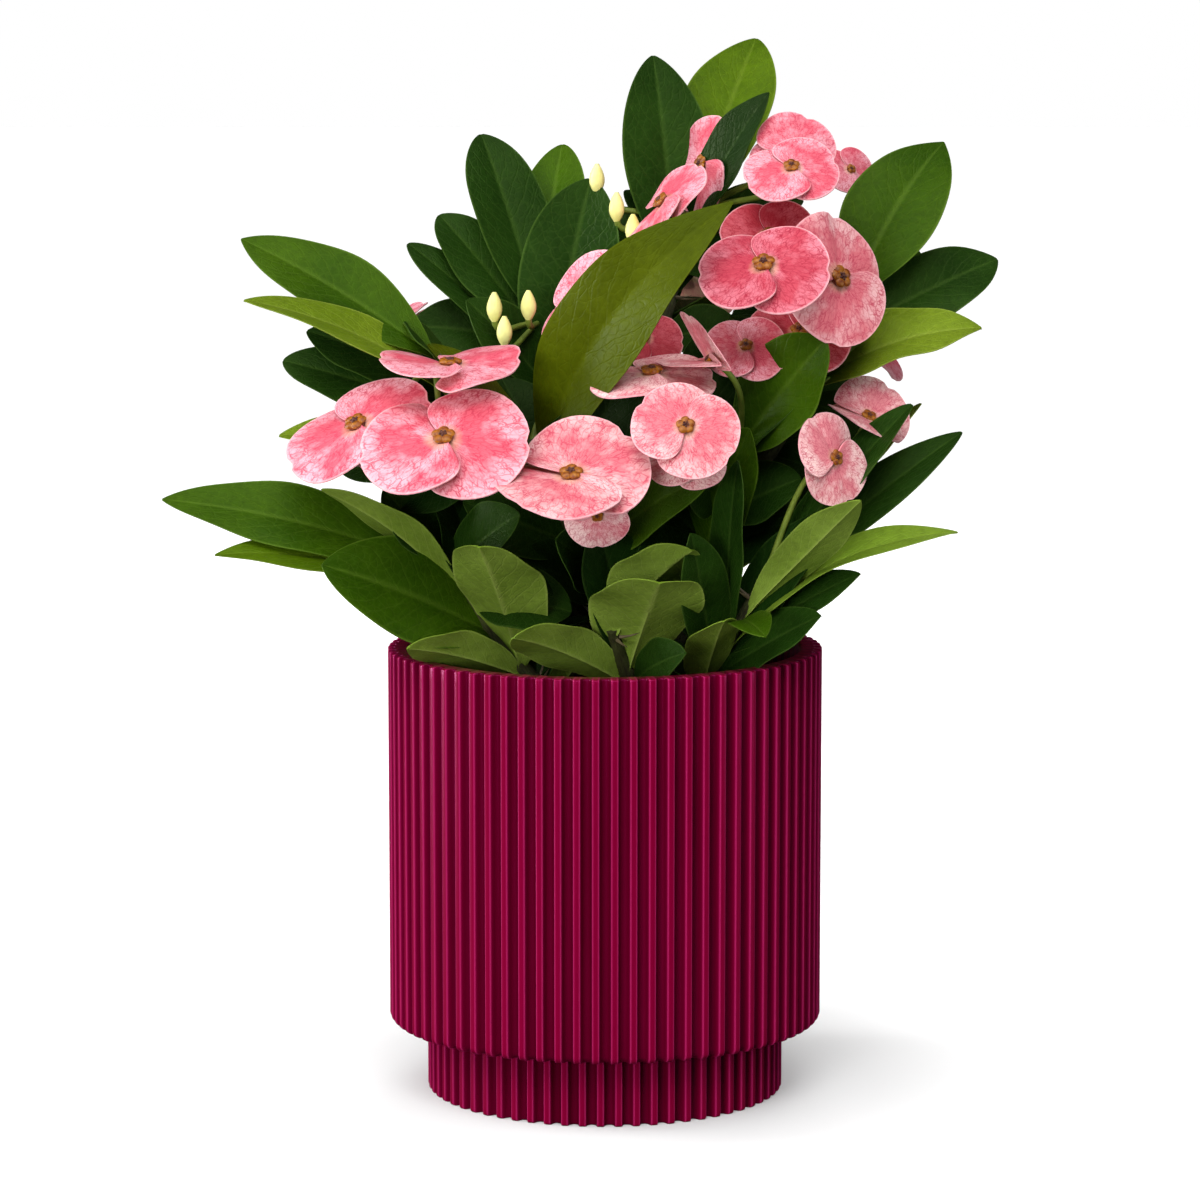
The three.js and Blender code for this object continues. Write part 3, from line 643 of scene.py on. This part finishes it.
# Colours of a bract: its strong and soft pink, its veins, the part near its foot, and its rim
CREAM = (226, 186, 146)
RIM = (240, 184, 188)
BRACT_TINTS = {
    "rose": ((200, 54, 76), (222, 158, 170), (182, 44, 72), CREAM, RIM),
    "deep_rose": ((174, 34, 56), (206, 118, 132), (150, 24, 50), CREAM, RIM),
    "coral": ((166, 28, 44), (192, 84, 96), (150, 18, 42), CREAM, RIM),
    "blush": ((200, 78, 94), (222, 170, 172), (180, 56, 80), CREAM, RIM),
    "pale": ((200, 94, 108), (230, 194, 192), (180, 66, 88), CREAM, RIM),
    "back": ((226, 156, 138), (234, 212, 158), (214, 130, 124), (206, 204, 128), RIM),
}
TINT_NAMES = list(BRACT_TINTS)


def bract_material(name, colours):
    """Pink, deepest midway out, with radial veins that show most on the paler margin."""
    strong, soft, vein, heart, rim = (rgb(*colour) for colour in colours)
    look = Shader(name, 0.5, Specular_IOR_Level=0.2)
    across, out = look.split(look.uv)
    aside = look.aside(across)
    cloud = look.noise(look.spot, 90.0, 2.0)
    fleck = look.streaks(20, 5, 4.0, 0.62)
    thread = look.streaks(50, 7, 3.0, 0.55)
    reach = look.ramp(out, (0.1, 0.3), (0.4, 1.0), (0.62, 0.8), (0.95, 0.1))
    depth = look.times(reach, look.maths("SUBTRACT", 0.25, look.times(aside, 0.4)))
    share = look.times(cloud, 1.05, depth)
    share = look.times(fleck, 0.5, share)
    body = look.blend(look.ramp(share, (0.7, 0.0), (1.0, 0.8)), soft, strong)
    lines = look.ramp(look.aside(thread), (0, 1.0), (0.03, 0.0))
    cells = look.net(38, 7, 1.3)
    threads = look.maths("MAXIMUM", lines, cells)
    shown = look.times(threads, look.ramp(fleck, (0.35, 0.25), (0.6, 1.0)))
    body = look.blend(shown, body, vein)
    midrib = look.ramp(look.times(thread, 0.012, aside), (0.006, 0.35), (0.014, 0.0))
    body = look.blend(midrib, body, vein)
    near = look.ramp(look.times(cloud, 0.16, out), (0.2, 0.55), (0.34, 0.0))
    body = look.blend(near, body, heart)
    body = look.blend(look.ramp(out, (0.965, 0.0), (0.996, 0.6)), body, rim)
    look.colour(body)
    look.bump(look.maths("ADD", fleck, thread), 0.3, 0.0005)
    return look.material


def plain_material(name, first, second, roughness, scale):
    """Two colours mottled by noise, with a fine grain in its relief."""
    look = Shader(name, roughness)
    fine = look.noise(look.spot, scale * 6, 4.0, 0.65)
    look.colour(look.mottle(look.noise(look.spot, scale), 0.3, 0.7, rgb(*first), rgb(*second)))
    look.rough(fine, roughness - 0.06, roughness + 0.08)
    look.bump(fine, 0.3, 0.0004)
    return look.material


def bark_material():
    """Olive-brown bark with fine dark cracks along the stem."""
    look = Shader("bark", 0.8)
    cracks = look.streaks(22, 1.6, 5.0, 0.7)
    wood = look.mottle(look.noise(look.spot, 160.0), 0.35, 0.65, rgb(44, 46, 20), rgb(62, 66, 32))
    look.colour(look.mottle(cracks, 0.38, 0.5, rgb(34, 28, 18), wood))
    look.bump(cracks, 0.8, 0.0008)
    return look.material


def pot_material(name, ribs):
    """Satin-glazed, deep magenta and faintly clouded, with painted light on the ribs: each crest painted
    brighter with a painted highlight line where it turns down, and the flutes painted darker as shade.
    """
    look = Shader(name, 0.3, Specular_IOR_Level=0.55, Specular_Tint=(1.0, 0.1, 0.6, 1.0))
    cloud = look.noise(look.stretch(look.spot, (1, 1, 0.3)), 40.0)
    turn, _ = look.split(look.uv)
    rib = look.maths("PINGPONG", look.times(turn, ribs), 0.5)
    # Painted shade: the flutes take a darker magenta than the crests
    painted_flute_shade = look.mottle(cloud, 0.3, 0.7, rgb(74, 0, 22), rgb(84, 0, 28))
    # Painted light: a brighter crest with a painted highlight line where it turns down, fading to the
    # flutes' painted shade
    painted_rib_light_and_shade = look.ramp(rib, (0.1, rgb(108, 0, 36)), (0.165, rgb(150, 28, 80)), (0.21, rgb(104, 0, 38)),
                        (0.29, rgb(74, 0, 22)))
    look.colour(look.mottle(rib, 0.2, 0.3, painted_rib_light_and_shade, painted_flute_shade))
    look.rough(cloud, 0.27, 0.34)
    look.bump(look.noise(look.spot, 1500.0, 2.0), 0.08, 0.0002)
    return look.material


# Pot and soil


def edge(height, inset, radius, start, end, steps, ribbed=1, inwards=1):
    """Rows of a rounded edge round a height, from one angle to another."""
    return [
        (height + radius * sin(angle), inset + inwards * radius * (1 - cos(angle)), ribbed)
        for angle in np.radians(np.linspace(start, end, steps))
    ]


def ribbed_piece(name, material, node, radius, ribs, rows):
    """A ribbed drum over rows of (height, inset, share of the ribs' depth)."""
    places, depths = np.array(RIB_SECTION).T
    places = np.concatenate([-places[:0:-1], places[:-1]])
    depths = np.concatenate([depths[:0:-1], depths[:-1]]) * RIB_DEPTH
    turns = ((np.arange(ribs)[:, None] + places) / ribs).ravel()
    depth = np.tile(depths, ribs)
    across = np.stack([np.cos(turns * tau), np.sin(turns * tau)], axis=1)
    rings = []
    for height, inset, ribbed in rows:
        reach = radius - inset - depth * ribbed - RIB_DEPTH * (1 - ribbed)
        level = np.full((len(turns), 1), height)
        rings.append(np.concatenate([across * reach[:, None], level], axis=1))
    batch = Batch()
    batch.drum(np.array(rings), ring_uvs(turns, np.linspace(0, 1, len(rings))), 0)
    batch.piece(name, [pot_material(material, ribs)], "pot", node)


def make_pot():
    plain = POT_RADIUS - RIB_DEPTH
    bore = plain - BORE_RADIUS
    rows = [(FOOT_HEIGHT, plain - AXIS_RADIUS, 0), (FOOT_HEIGHT, plain - FOOT_RADIUS + 4, 0)]
    rows += edge(FOOT_HEIGHT + POT_EDGE, 0, POT_EDGE, -88, 0, 7)
    rows += [(height, 0, 1) for height in np.linspace(FOOT_HEIGHT + 6, POT_HEIGHT - 4, 14)]
    rows += edge(POT_HEIGHT - POT_RIM_EDGE, 0, POT_RIM_EDGE, 0, 80, 5)
    rows += [(POT_HEIGHT, POT_RIM_INSET, 0)]
    rows += edge(POT_HEIGHT - LIP_RADIUS, bore, LIP_RADIUS, 90, 0, 6, ribbed=0, inwards=-1)
    rows += [(CAVITY_FLOOR, bore, 0), (CAVITY_FLOOR, plain - AXIS_RADIUS, 0)]
    ribbed_piece("pot_shell", "pot_satin", "pot_body", POT_RADIUS, POT_RIBS, rows)

    centre = FOOT_RADIUS - RIB_DEPTH - AXIS_RADIUS
    top = FOOT_HEIGHT - GAP / 3
    rows = [(0, centre, 0)]
    rows += edge(FOOT_EDGE, 0, FOOT_EDGE, -88, 0, 5)
    rows += [(height, 0, 1) for height in np.linspace(3, top, 4)]
    rows += [(top, centre, 0)]
    ribbed_piece("pot_foot_shell", "pot_satin_foot", "pot_foot", FOOT_RADIUS, FOOT_RIBS, rows)


def make_soil():
    """Crumbly potting mix, level in the pot."""
    random = seeded(SOIL_SEED)
    batch = Batch()
    rings = []
    for reach in (AXIS_RADIUS, *np.linspace(4, BORE_RADIUS - GAP, SOIL_RINGS)):
        ring = circle(SOIL_SIDES, [1, 0, 0], [0, 1, 0]) * reach + UP * SOIL_TOP
        for point in ring:
            point[2] += SOIL_WAVE * noise.fractal(Vector(point) / SOIL_LUMP, 0.8, 2.1, 4) - SOIL_DIP
        rings.append(ring)
    floor = [ring * [1, 1, 0] + UP * CAVITY_FLOOR for ring in (rings[0], rings[-1])]
    rings = np.array([*floor, *rings[::-1]])
    batch.drum(rings, rings[..., :2] / BORE_RADIUS / 2 + 0.5, 0)
    for _ in range(CRUMBS):
        reach = (BORE_RADIUS - CRUMB_INSET) * sqrt(next(random))
        turn = tau * next(random)
        size = mix(CRUMB_SIZE, next(random))
        centre = np.array([reach * cos(turn), reach * sin(turn), SOIL_TOP + size * 0.2])
        way = aim(360 * next(random), 40 * next(random))
        path = centre + np.outer(np.linspace(-0.7, 0.7, len(CRUMB_PROFILE)), way * size)
        add_tube(batch, path, np.array(CRUMB_PROFILE) * size, 6, 0)
    material = plain_material("potting_mix", (38, 26, 18), (72, 54, 38), 0.92, 260.0)
    batch.piece("soil_surface", [material], "soil", "soil")


# Masses and stems


class Shoot:
    """One mass: the stem in it, and the rows of its leaves, blooms and buds."""

    def __init__(self, stem, leaves, blooms, buds, rear=False):
        self.fork, foot, apex = stem
        self.foot = np.array(foot, float)
        self.apex = np.array(apex, float)
        self.way = unit(self.apex - self.foot)
        self.leaves = leaves
        self.blooms = blooms
        self.buds = buds
        self.rear = rear

    def at(self, along):
        return self.foot + (self.apex - self.foot) * along

    def beyond(self, heading, lift, reach):
        """A point that lies off the apex."""
        return self.apex + aim(heading, lift) * reach

    def bough_path(self):
        root = STEM_FOOT + STEM_LEAN * (self.fork - FORK_DEPTH)
        tip = self.foot - self.way * GAP
        reach = np.linalg.norm(tip - root)
        outwards = unit((tip - root) * [1, 1, 0])
        leaving = root + outwards * reach * BOUGH_OUT + UP * reach * BOUGH_RISE
        return bezier(root, leaving, tip - self.way * reach * BOUGH_END, tip, BOUGH_STEPS)

    def stalk_path(self, to, face, count):
        start = self.apex - self.way * STALK_SINK
        reach = np.linalg.norm(to - start)
        leaving = start + self.way * reach * STALK_OUT + unit(to - start) * reach * STALK_AHEAD
        return bezier(start, leaving, to - face * reach * STALK_END, to, count)


def spiral_rows(seed, count, outwards, bloom_count):
    """Leaves, blooms and no buds of a mass at the back, from its seed."""
    random = seeded(seed)
    leaves = []
    for i in range(count):
        along = mix((0.05, 1), i / (count - 1))
        heading = outwards + i * SPIRAL_TURN + mix(REAR_SWAY, next(random))
        lift = mix(REAR_LIFT, along) + mix(REAR_NOD, next(random))
        length = mix(REAR_LENGTH, next(random)) * mix((1, 0.85), along)
        width = mix(REAR_WIDTH, next(random))
        roll = mix(REAR_ROLL, next(random))
        pointed = mix(REAR_POINTED, next(random))
        tone = REAR_TONES[i % len(REAR_TONES)]
        leaves.append((tone, along, heading, lift, length, width, roll, pointed))
    blooms = []
    for swing, lift, reach, diameter in REAR_BLOOMS[:bloom_count]:
        heading = outwards + swing
        spin = 180 * next(random)
        blooms.append(("rose", heading, lift, reach, diameter, heading, REAR_FACE_LIFT, spin))
    return leaves, blooms, ()


def make_shoots():
    """The masses by name, those at the back last."""
    shoots = {}
    for name, stem in STEMS.items():
        shoots[name] = Shoot(stem, LEAVES[name], BLOOMS.get(name, ()), BUDS.get(name, ()))
    for name, (stem, *spiral) in REAR_STEMS.items():
        shoots[name] = Shoot(stem, *spiral_rows(*spiral), rear=True)
    return shoots


def barky(radii, sides, depth, scale):
    """Radii that vary round and along a stem, for its bark, leaf scars and knots."""
    rough = []
    for k, radius in enumerate(radii):
        spots = circle(sides, [1, 0, 0], [0, 1, 0]) * radius + UP * k * 0.9
        knots = [noise.fractal(Vector(spot) * scale, 0.9, 2.0, 3) for spot in spots]
        rough.append(radius * (1 + depth * np.array(knots)))
    return rough


def add_spines(batch, path, radii, random):
    """Pairs of grey spines up a stem, a pair beside each leaf scar."""
    for k in range(2, len(path) - 1, SPINE_SPACING):
        way = unit(path[k + 1] - path[k - 1])
        across = unit(np.cross(way, [0.2, 0.5, 0.84]))
        middle = 360 * next(random)
        for swing in (-SPINE_SWING, SPINE_SWING):
            out = turned(across, way, middle + swing)
            start = path[k] + out * radii[k] * 0.7
            length = mix(SPINE_LENGTH, next(random))
            share = np.linspace(0, 1, len(SPINE_RADII))[:, None]
            line = start + out * length * share + way * length * 0.25 * share**2
            add_tube(batch, line, SPINE_RADII, 6, 1)


def make_stems(shoots):
    random = seeded(SPINE_SEED)
    batch = Batch()
    heights = np.linspace(0, STEM_RINGS[-1][0], STEM_STEPS)
    radii = np.interp(heights, *zip(*STEM_RINGS))
    path = STEM_FOOT + np.outer(heights, STEM_LEAN)
    add_tube(batch, path, barky(radii, STEM_SIDES, *STEM_BARK), STEM_SIDES, 0)
    for shoot in shoots.values():
        inner = np.linspace(shoot.foot, shoot.apex, SHOOT_STEPS)
        path = np.concatenate([shoot.bough_path(), inner[1:]])
        steps = np.linalg.norm(np.diff(path, axis=0), axis=1).cumsum()
        reach = np.concatenate([[0], steps]) / steps[-1]
        foot = reach[-SHOOT_STEPS]
        radii = np.interp(reach, [0, foot, 1], [BOUGH_ROOT_RADIUS, SHOOT_RADIUS, SHOOT_TIP_RADIUS])
        add_tube(batch, path, barky(radii, BOUGH_SIDES, *BOUGH_BARK), BOUGH_SIDES, 0)
        add_spines(batch, path, radii, random)
    spine = plain_material("spine", (74, 64, 46), (106, 94, 70), 0.5, 300.0)
    boughs = [f"bough_{name}" for name in shoots]
    batch.piece("stems", [bark_material(), spine], "bark", "main_stem", *boughs, sharp=60)


# Leaves


def leaf_shape(share, pointed):
    """Half the width at a share of the length, as a share of the widest."""
    fall = 0.5 + 0.5 * pointed
    widest = 0.6 - 0.12 * pointed
    rise = fall * widest / (1 - widest)
    peak = widest**rise * (1 - widest) ** fall
    return share**rise * (1 - share) ** fall / peak


def leaf_surfaces(shoot, row, random):
    """Upper and lower grids of a leaf, and its UVs."""
    along, heading, lift, length, width, roll = row[:6]
    pointed, bow = *row[6:], *LEAF_REST[len(row) - 6:]
    axis = aim(heading, lift)
    base = shoot.at(along) + axis * ROOT_START
    over = turned(unit(UP - axis * axis[2]), axis, roll)
    side = np.cross(axis, over)
    # Closer together towards the tip, which they stop just short of
    share = 0.997 * (1 - (1 - np.linspace(0, 1, LEAF_ALONG)) ** 1.45)
    across, share = np.meshgrid(LEAF_ACROSS, share)
    half = np.maximum(width / 2 * leaf_shape(share, pointed), PETIOLE_HALF_WIDTH * (1 - share))
    away = np.abs(across)
    fold = half * (1.5 * LEAF_FOLD * away - 0.5 * LEAF_FOLD * away**2)
    waves = mix((1.2, 2.4), next(random))
    left, right = next(random), next(random)
    phase = waves * share + np.where(across > 0, left, right)
    ripple = half * away**2 * LEAF_RIPPLE * np.sin(tau * phase) * np.sqrt(share)
    bend = length * mix((-0.02, 0.02), next(random)) * np.sin(pi * share)
    groove = MIDRIB_GROOVE * np.exp(-((away / 0.07) ** 2)) * (1 - share)
    rise = length * bow * 4 * share * (1 - share) + fold + ripple - groove
    top = (
        base
        + axis * (length * share)[..., None]
        + side * (half * across + bend)[..., None]
        + over * rise[..., None]
    )
    petiole = np.clip(1 - share / 0.1, 0, 1) * (1 - away**2)
    body = LEAF_EDGE + (LEAF_BODY - LEAF_EDGE) * (1 - away**2)
    ridge = (MIDRIB_RISE * (1 - share) + 0.15) * np.exp(-((away / 0.1) ** 2))
    thick = np.minimum(body + ridge + petiole, half * 1.6 + 0.12)
    bottom = top - over * thick[..., None]
    uvs = np.stack([share, (across + 1) / 2], axis=-1)
    return top, bottom, uvs


def tree_of(grid):
    """The faces of a grid, as what stands in the crown keeps them for the tests."""
    return BVHTree.FromPolygons(grid.reshape(-1, 3).tolist(), grid_faces(*grid.shape[:2]).tolist())


def is_free(tree, crown):
    return not any(tree.overlap(other) for other in crown)


def coarse_leaf(top, start):
    """A few faces of a leaf's blade, without its foot, for the tests."""
    rows = np.linspace(int(LEAF_ALONG * start), LEAF_ALONG - 1, TEST_ROWS).astype(int)
    return top[np.ix_(rows, TEST_COLUMNS)]


def within_crown(shoot, row):
    """Whether a leaf at the back stays behind the front ones and under the crown's top."""
    along, heading, lift, length = row[:4]
    tip = shoot.at(along) + aim(heading, lift) * length
    return tip[1] > REAR_FRONT_LIMIT and tip[2] < CROWN_TOP


def fill_rows(random):
    """Small leaves up a stem, in the same spiral as the large ones."""
    start = 360 * next(random)
    rows = []
    for i in range(FILL_COUNT):
        along = mix(FILL_ALONG, i / (FILL_COUNT - 1))
        heading = start + i * SPIRAL_TURN + mix(REAR_SWAY, next(random))
        lift = mix(FILL_LIFT, next(random))
        length = mix(FILL_LENGTH, next(random))
        width = mix(FILL_WIDTH, next(random))
        tone = FILL_TONES[i % len(FILL_TONES)]
        rows.append((tone, along, heading, lift, length, width, mix(REAR_ROLL, next(random))))
    return rows


def leaf_inside(points):
    """Whether a leaf stays in the solids' box, clear of the soil and the pot, and short low down."""
    low, high = np.array(solid_box) / MM
    reach = np.hypot(points[:, 0], points[:, 1])
    height = points[:, 2]
    past_skirt = (height < SKIRT_HEIGHT) & (reach > SKIRT_REACH)
    in_wall = (height < POT_HEIGHT + WALL_CLEAR) & (reach > BORE_RADIUS - WALL_CLEAR)
    in_box = (points >= low).all() and (points <= high).all() and height.min() >= SOIL_TOP + WALL_CLEAR
    return in_box and not (past_skirt | in_wall).any()


def hides_bud(points, buds):
    """Whether a leaf passes in front of a bud."""
    aside, behind, above = (np.array(buds)[:, None] - points).transpose(2, 0, 1)
    return ((np.hypot(aside, above) < BUD_CLEAR) & (behind > 0)).any()


def add_leaf(batch, surfaces, tone):
    upper = TONE_NAMES.index(tone)
    under = len(TONE_NAMES) + (tone in LIGHT_TONES)
    batch.skin(*surfaces, (upper, under, upper))


def make_leaves(shoots, crown):
    batches = {name: Batch() for name in shoots}
    random = seeded(LEAF_SEED)
    for name, shoot in shoots.items():
        for tone, *row in shoot.leaves:
            surfaces = leaf_surfaces(shoot, row, random)
            tree = tree_of(coarse_leaf(surfaces[0], TEST_START))
            if not shoot.rear or (within_crown(shoot, row) and is_free(tree, crown)):
                crown.append(tree)
                add_leaf(batches[name], surfaces, tone)
    buds = [shoot.beyond(*bud) for shoot in shoots.values() for bud in shoot.buds]
    random = seeded(FILL_SEED)
    small = [(name, row) for name, rows in GAP_LEAVES.items() for row in rows]
    for name in shoots:
        small += [(name, row) for row in fill_rows(random) if aim(*row[2:4])[1] > FILL_FRONT_LIMIT]
    for name, (tone, *row) in small:
        surfaces = leaf_surfaces(shoots[name], row, seeded(FILL_SEED))
        blade = coarse_leaf(surfaces[0], FILL_TEST_START)
        tree, points = tree_of(blade), blade.reshape(-1, 3)
        if leaf_inside(points) and not hides_bud(points, buds) and is_free(tree, crown):
            crown.append(tree)
            add_leaf(batches[name], surfaces, tone)
    materials = leaf_materials()
    for name, batch in batches.items():
        batch.piece(f"leaves_{name}", materials, "leaf", f"foliage_{name}")


# Blossom


def bract_reach(away):
    """How far a bract reaches at an angle from its middle, as a share of its radius."""
    away = np.abs(away)
    outline = (1 - np.minimum(away / BRACT_SPAN, 1) ** 5) ** 0.45
    notch = 1 - 0.05 * np.exp(-((away / 4.5) ** 2))
    stretch = 1 + (BRACT_STRETCH - 1) * np.abs(np.cos(np.radians(away)))
    return outline * notch * stretch


def bract_surfaces(centre, face, spin, radius, tilt, start, random):
    """Upper and lower grids of one bract of a bloom, and its UVs."""
    level = unit(np.cross(UP, face))
    axis = turned(level, face, spin)
    cross = np.cross(face, axis)
    # Closer together towards the ends, where the outline turns back to the cup
    swing = np.linspace(-1, 1, BRACT_AROUND)
    swing = np.sign(swing) * (1 - (1 - np.abs(swing)) ** 1.6)
    away = swing * BRACT_SPAN * 0.998
    away, share = np.meshgrid(away, np.linspace(0.07, 1, BRACT_ALONG))
    far = radius * bract_reach(away) * share
    turn = np.radians(away + start)
    waves = mix((3.5, 5.5), next(random))
    ruffle = BRACT_RUFFLE * np.sin(np.radians(away) * waves + 6.28 * next(random))
    crease = BRACT_CREASE * np.exp(-((away / 9) ** 2))
    out = far * np.cos(turn)
    height = np.abs(out) * sin(radians(tilt)) + radius * (
        (BRACT_CUP + BRACT_WAVE * np.sin(3 * turn) + ruffle) * share**1.7
        + PINWHEEL * away / BRACT_SPAN * np.sqrt(share)
        + crease * share
    )
    top = (
        centre
        + axis * (out * cos(radians(tilt)))[..., None]
        + cross * (far * np.sin(turn))[..., None]
        + face * height[..., None]
    )
    bottom = top - face * BRACT_THICKNESS
    uvs = np.stack([away / BRACT_SPAN / 2 + 0.5, share], axis=-1)
    return top, bottom, uvs


def add_cup(batch, centre, face, scale):
    """The small true flowers: five glands round a dark mouth with a few anthers, on a short cup."""
    across = unit(np.cross(face, [0.2, 0.1, 0.97]))
    path = centre + np.outer([-1.6, -0.4, 0.8, 1.5, 1.7], face) * scale
    add_tube(batch, path, np.array([1.5, 2.4, 2.8, 2.6, 2.0]) * scale, 14, 1)
    for k in range(5):
        out = turned(across, face, 72 * k)
        add_ball(batch, centre + (out * 1.8 + face * 1.5) * scale, face, 1.65 * scale, 0.8 * scale, 0)
        spot = centre + (turned(across, face, 72 * k + 36) * 0.85 + face * 1.9) * scale
        add_ball(batch, spot, face, 0.5 * scale, 0.7 * scale, 2, 8, 5)
    add_ball(batch, centre + face * 1.9 * scale, face, 0.65 * scale, 0.9 * scale, 2, 8, 5)


def add_stalk(batch, shoot, to, face, ends, count, crown):
    """A stalk from a mass's apex to a bloom or a bud; ends are shares of its radius."""
    path = shoot.stalk_path(to, face, count)
    add_tube(batch, path, np.linspace(*ends, count) * STALK_RADIUS, STALK_SIDES, 0)
    # Two narrow crossed strips stand for it in the tests
    crown.append(tree_of(np.stack([path - [0.8, 0, 0], path, path + [0, 0.8, 0.8]], axis=1)))


def add_bloom(bracts, cups, stalks, shoot, row, crown, random):
    tint, heading, lift, reach, diameter, face_heading, face_lift, spin, *tilt = row
    centre = shoot.beyond(heading, lift, reach)
    face = aim(face_heading, face_lift)
    slots = (TINT_NAMES.index(tint), TINT_NAMES.index("back"), 0)
    for start in (0, 180):
        surfaces = bract_surfaces(centre, face, spin, diameter / 2, sum(tilt), start, random)
        bracts.skin(*surfaces, slots)
        crown.append(tree_of(surfaces[0][::2, ::6]))
    add_cup(cups, centre, face, min(CUP_SCALE_LIMIT, diameter / CUP_DIAMETER))
    add_stalk(stalks, shoot, centre - face, face, (1.1, 1.0), 16, crown)


def add_bud(stalks, shoot, row, crown):
    bottom = shoot.beyond(*row)
    path = bottom + np.outer(np.linspace(0, BUD_LENGTH, len(BUD_PROFILE)), UP)
    add_tube(stalks, path, np.array(BUD_PROFILE) * BUD_RADIUS, 16, 1)
    add_stalk(stalks, shoot, bottom + UP, UP, (0.9, 1.15), 14, crown)


def make_blossom(shoots, crown):
    random = seeded(BLOSSOM_SEED)
    bract_looks = [bract_material(f"bract_{tint}", colours) for tint, colours in BRACT_TINTS.items()]
    cup_looks = [
        plain_material("gland", (160, 100, 16), (104, 38, 8), 0.3, 900.0),
        plain_material("cup", (84, 34, 14), (112, 54, 22), 0.45, 500.0),
        plain_material("anther", (58, 20, 22), (96, 56, 44), 0.5, 900.0),
    ]
    stalk_looks = [
        plain_material("stalk", (80, 98, 28), (108, 122, 44), 0.5, 200.0),
        plain_material("bud", (206, 202, 112), (226, 222, 146), 0.45, 150.0),
    ]
    for name, shoot in shoots.items():
        bracts, cups, stalks = Batch(), Batch(), Batch()
        for row in shoot.blooms:
            add_bloom(bracts, cups, stalks, shoot, row, crown, random)
        for row in shoot.buds:
            add_bud(stalks, shoot, row, crown)
        if shoot.blooms:
            bracts.piece(f"bracts_{name}", bract_looks, "blossom", f"foliage_{name}")
            cups.piece(f"cups_{name}", cup_looks, "blossom", f"foliage_{name}")
        if stalks.count:
            stalks.piece(f"stalks_{name}", stalk_looks, "leaf", f"foliage_{name}")


# Studio


# Where the light comes from: (name, place, target, size, power, whether it shows in glossy reflections)
LAMPS = (
    ("left_box", (-1.15, 0.1, 0.4), (0, 0, 0.17), (0.3, 0.8), 12, True),
    ("right_box", (1.15, -0.3, 0.4), (0, 0, 0.17), (0.3, 0.8), 2.2, True),
    ("front_box", (0.0, -1.2, 1.3), (0, 0, 0.25), (1.0, 0.6), 11.5, False),
    ("rear_box", (0.3, 1.3, 0.9), (0, 0, 0.2), (1.0, 0.6), 9, False),
    ("low_box", (-0.6, -1.3, 0.25), (0, 0, 0.17), (0.6, 0.4), 13, False),
)
SUN_POWER = 2.4
SUN_ANGLE = 75
SUN_TURN = (28, -12, 0)
SKY_POWER = 0.3
FLOOR_REACH = 60.0
FLOOR_GLOW = 0.17
BACKDROP_REACH = 8.0
WHITE = (1, 1, 1, 1)
BLACK = (0, 0, 0, 1)

# Camera
LENS = 134.9
CAMERA_TARGET = Vector((-0.0016, 0, 0.1593))
CAMERA_LIFT = 8.23
CAMERA_REACH = 1.448


def square(reach, height):
    return [(x * reach, y * reach, height) for x, y in ((-1, -1), (1, -1), (1, 1), (-1, 1))]


def stage_piece(name, points, faces, look):
    """Something that only the camera sees, and light and shadows fall on."""
    mesh = bpy.data.meshes.new(name)
    mesh.from_pydata(points, [], faces)
    mesh.materials.append(look.material)
    made = placed(name, mesh)
    made.visible_diffuse = False
    made.visible_glossy = False
    return made


def white_look(name, roughness, glow):
    return Shader(name, roughness, Base_Color=BLACK, Specular_IOR_Level=0.0, Emission_Color=WHITE,
                  Emission_Strength=glow)


def make_floor():
    """A white floor with painted shade near the pot: its colour darkens towards the foot, a painted contact
    shadow that also lets the rendered shadow show.
    """
    look = white_look("floor_white", 0.9, FLOOR_GLOW)
    x, y = look.split(look.spot)
    away = look.times(x, x, look.times(y, y))
    # Painted shadow: a darker base colour close to the pot's foot
    look.colour(look.ramp(away, (0.006, 0.58), (0.03, 0.9)))
    stage_piece("floor", square(FLOOR_REACH, 0), [(0, 1, 2, 3)], look)


def make_backdrop():
    """White walls far off, so that a level view has no horizon."""
    points = square(BACKDROP_REACH, 0) + square(BACKDROP_REACH, 2 * BACKDROP_REACH)
    walls = [(i, (i + 1) % 4, (i + 1) % 4 + 4, i + 4) for i in range(4)]
    stage_piece("backdrop", points, walls, white_look("backdrop_white", 1.0, 1.0)).visible_shadow = False


def make_lights():
    world = bpy.data.worlds.new("studio")
    world.use_nodes = True
    bpy.context.scene.world = world
    sky = world.node_tree.nodes["Background"].inputs
    sky["Color"].default_value = WHITE
    sky["Strength"].default_value = SKY_POWER
    world.cycles_visibility.glossy = False

    sun = bpy.data.lights.new("overhead", "SUN")
    sun.energy = SUN_POWER
    sun.angle = radians(SUN_ANGLE)
    placed("overhead", sun).rotation_euler = [radians(turn) for turn in SUN_TURN]
    for name, place, target, size, power, glossy in LAMPS:
        lamp = bpy.data.lights.new(name, "AREA")
        lamp.shape = "RECTANGLE"
        lamp.size, lamp.size_y = size
        lamp.energy = power
        made = placed(name, lamp)
        made.location = place
        made.rotation_euler = (Vector(target) - made.location).to_track_quat("-Z", "Y").to_euler()
        made.visible_glossy = glossy


def make_camera():
    """A long lens a little above the rim, as in the photograph."""
    lens = bpy.data.cameras.new("camera")
    lens.lens = LENS
    lens.clip_end = 200.0
    camera = placed("camera", lens)
    camera.location = CAMERA_TARGET + Vector(aim(270, CAMERA_LIFT)) * CAMERA_REACH
    camera.rotation_euler = (CAMERA_TARGET - camera.location).to_track_quat("-Z", "Y").to_euler()
    bpy.context.scene.camera = camera


def main():
    bpy.context.scene.view_settings.view_transform = "Standard"
    make_camera()
    make_floor()
    make_backdrop()
    make_lights()
    make_pot()
    make_soil()
    shoots = make_shoots()
    crown = []
    make_stems(shoots)
    make_blossom(shoots, crown)
    make_leaves(shoots, crown)


main()
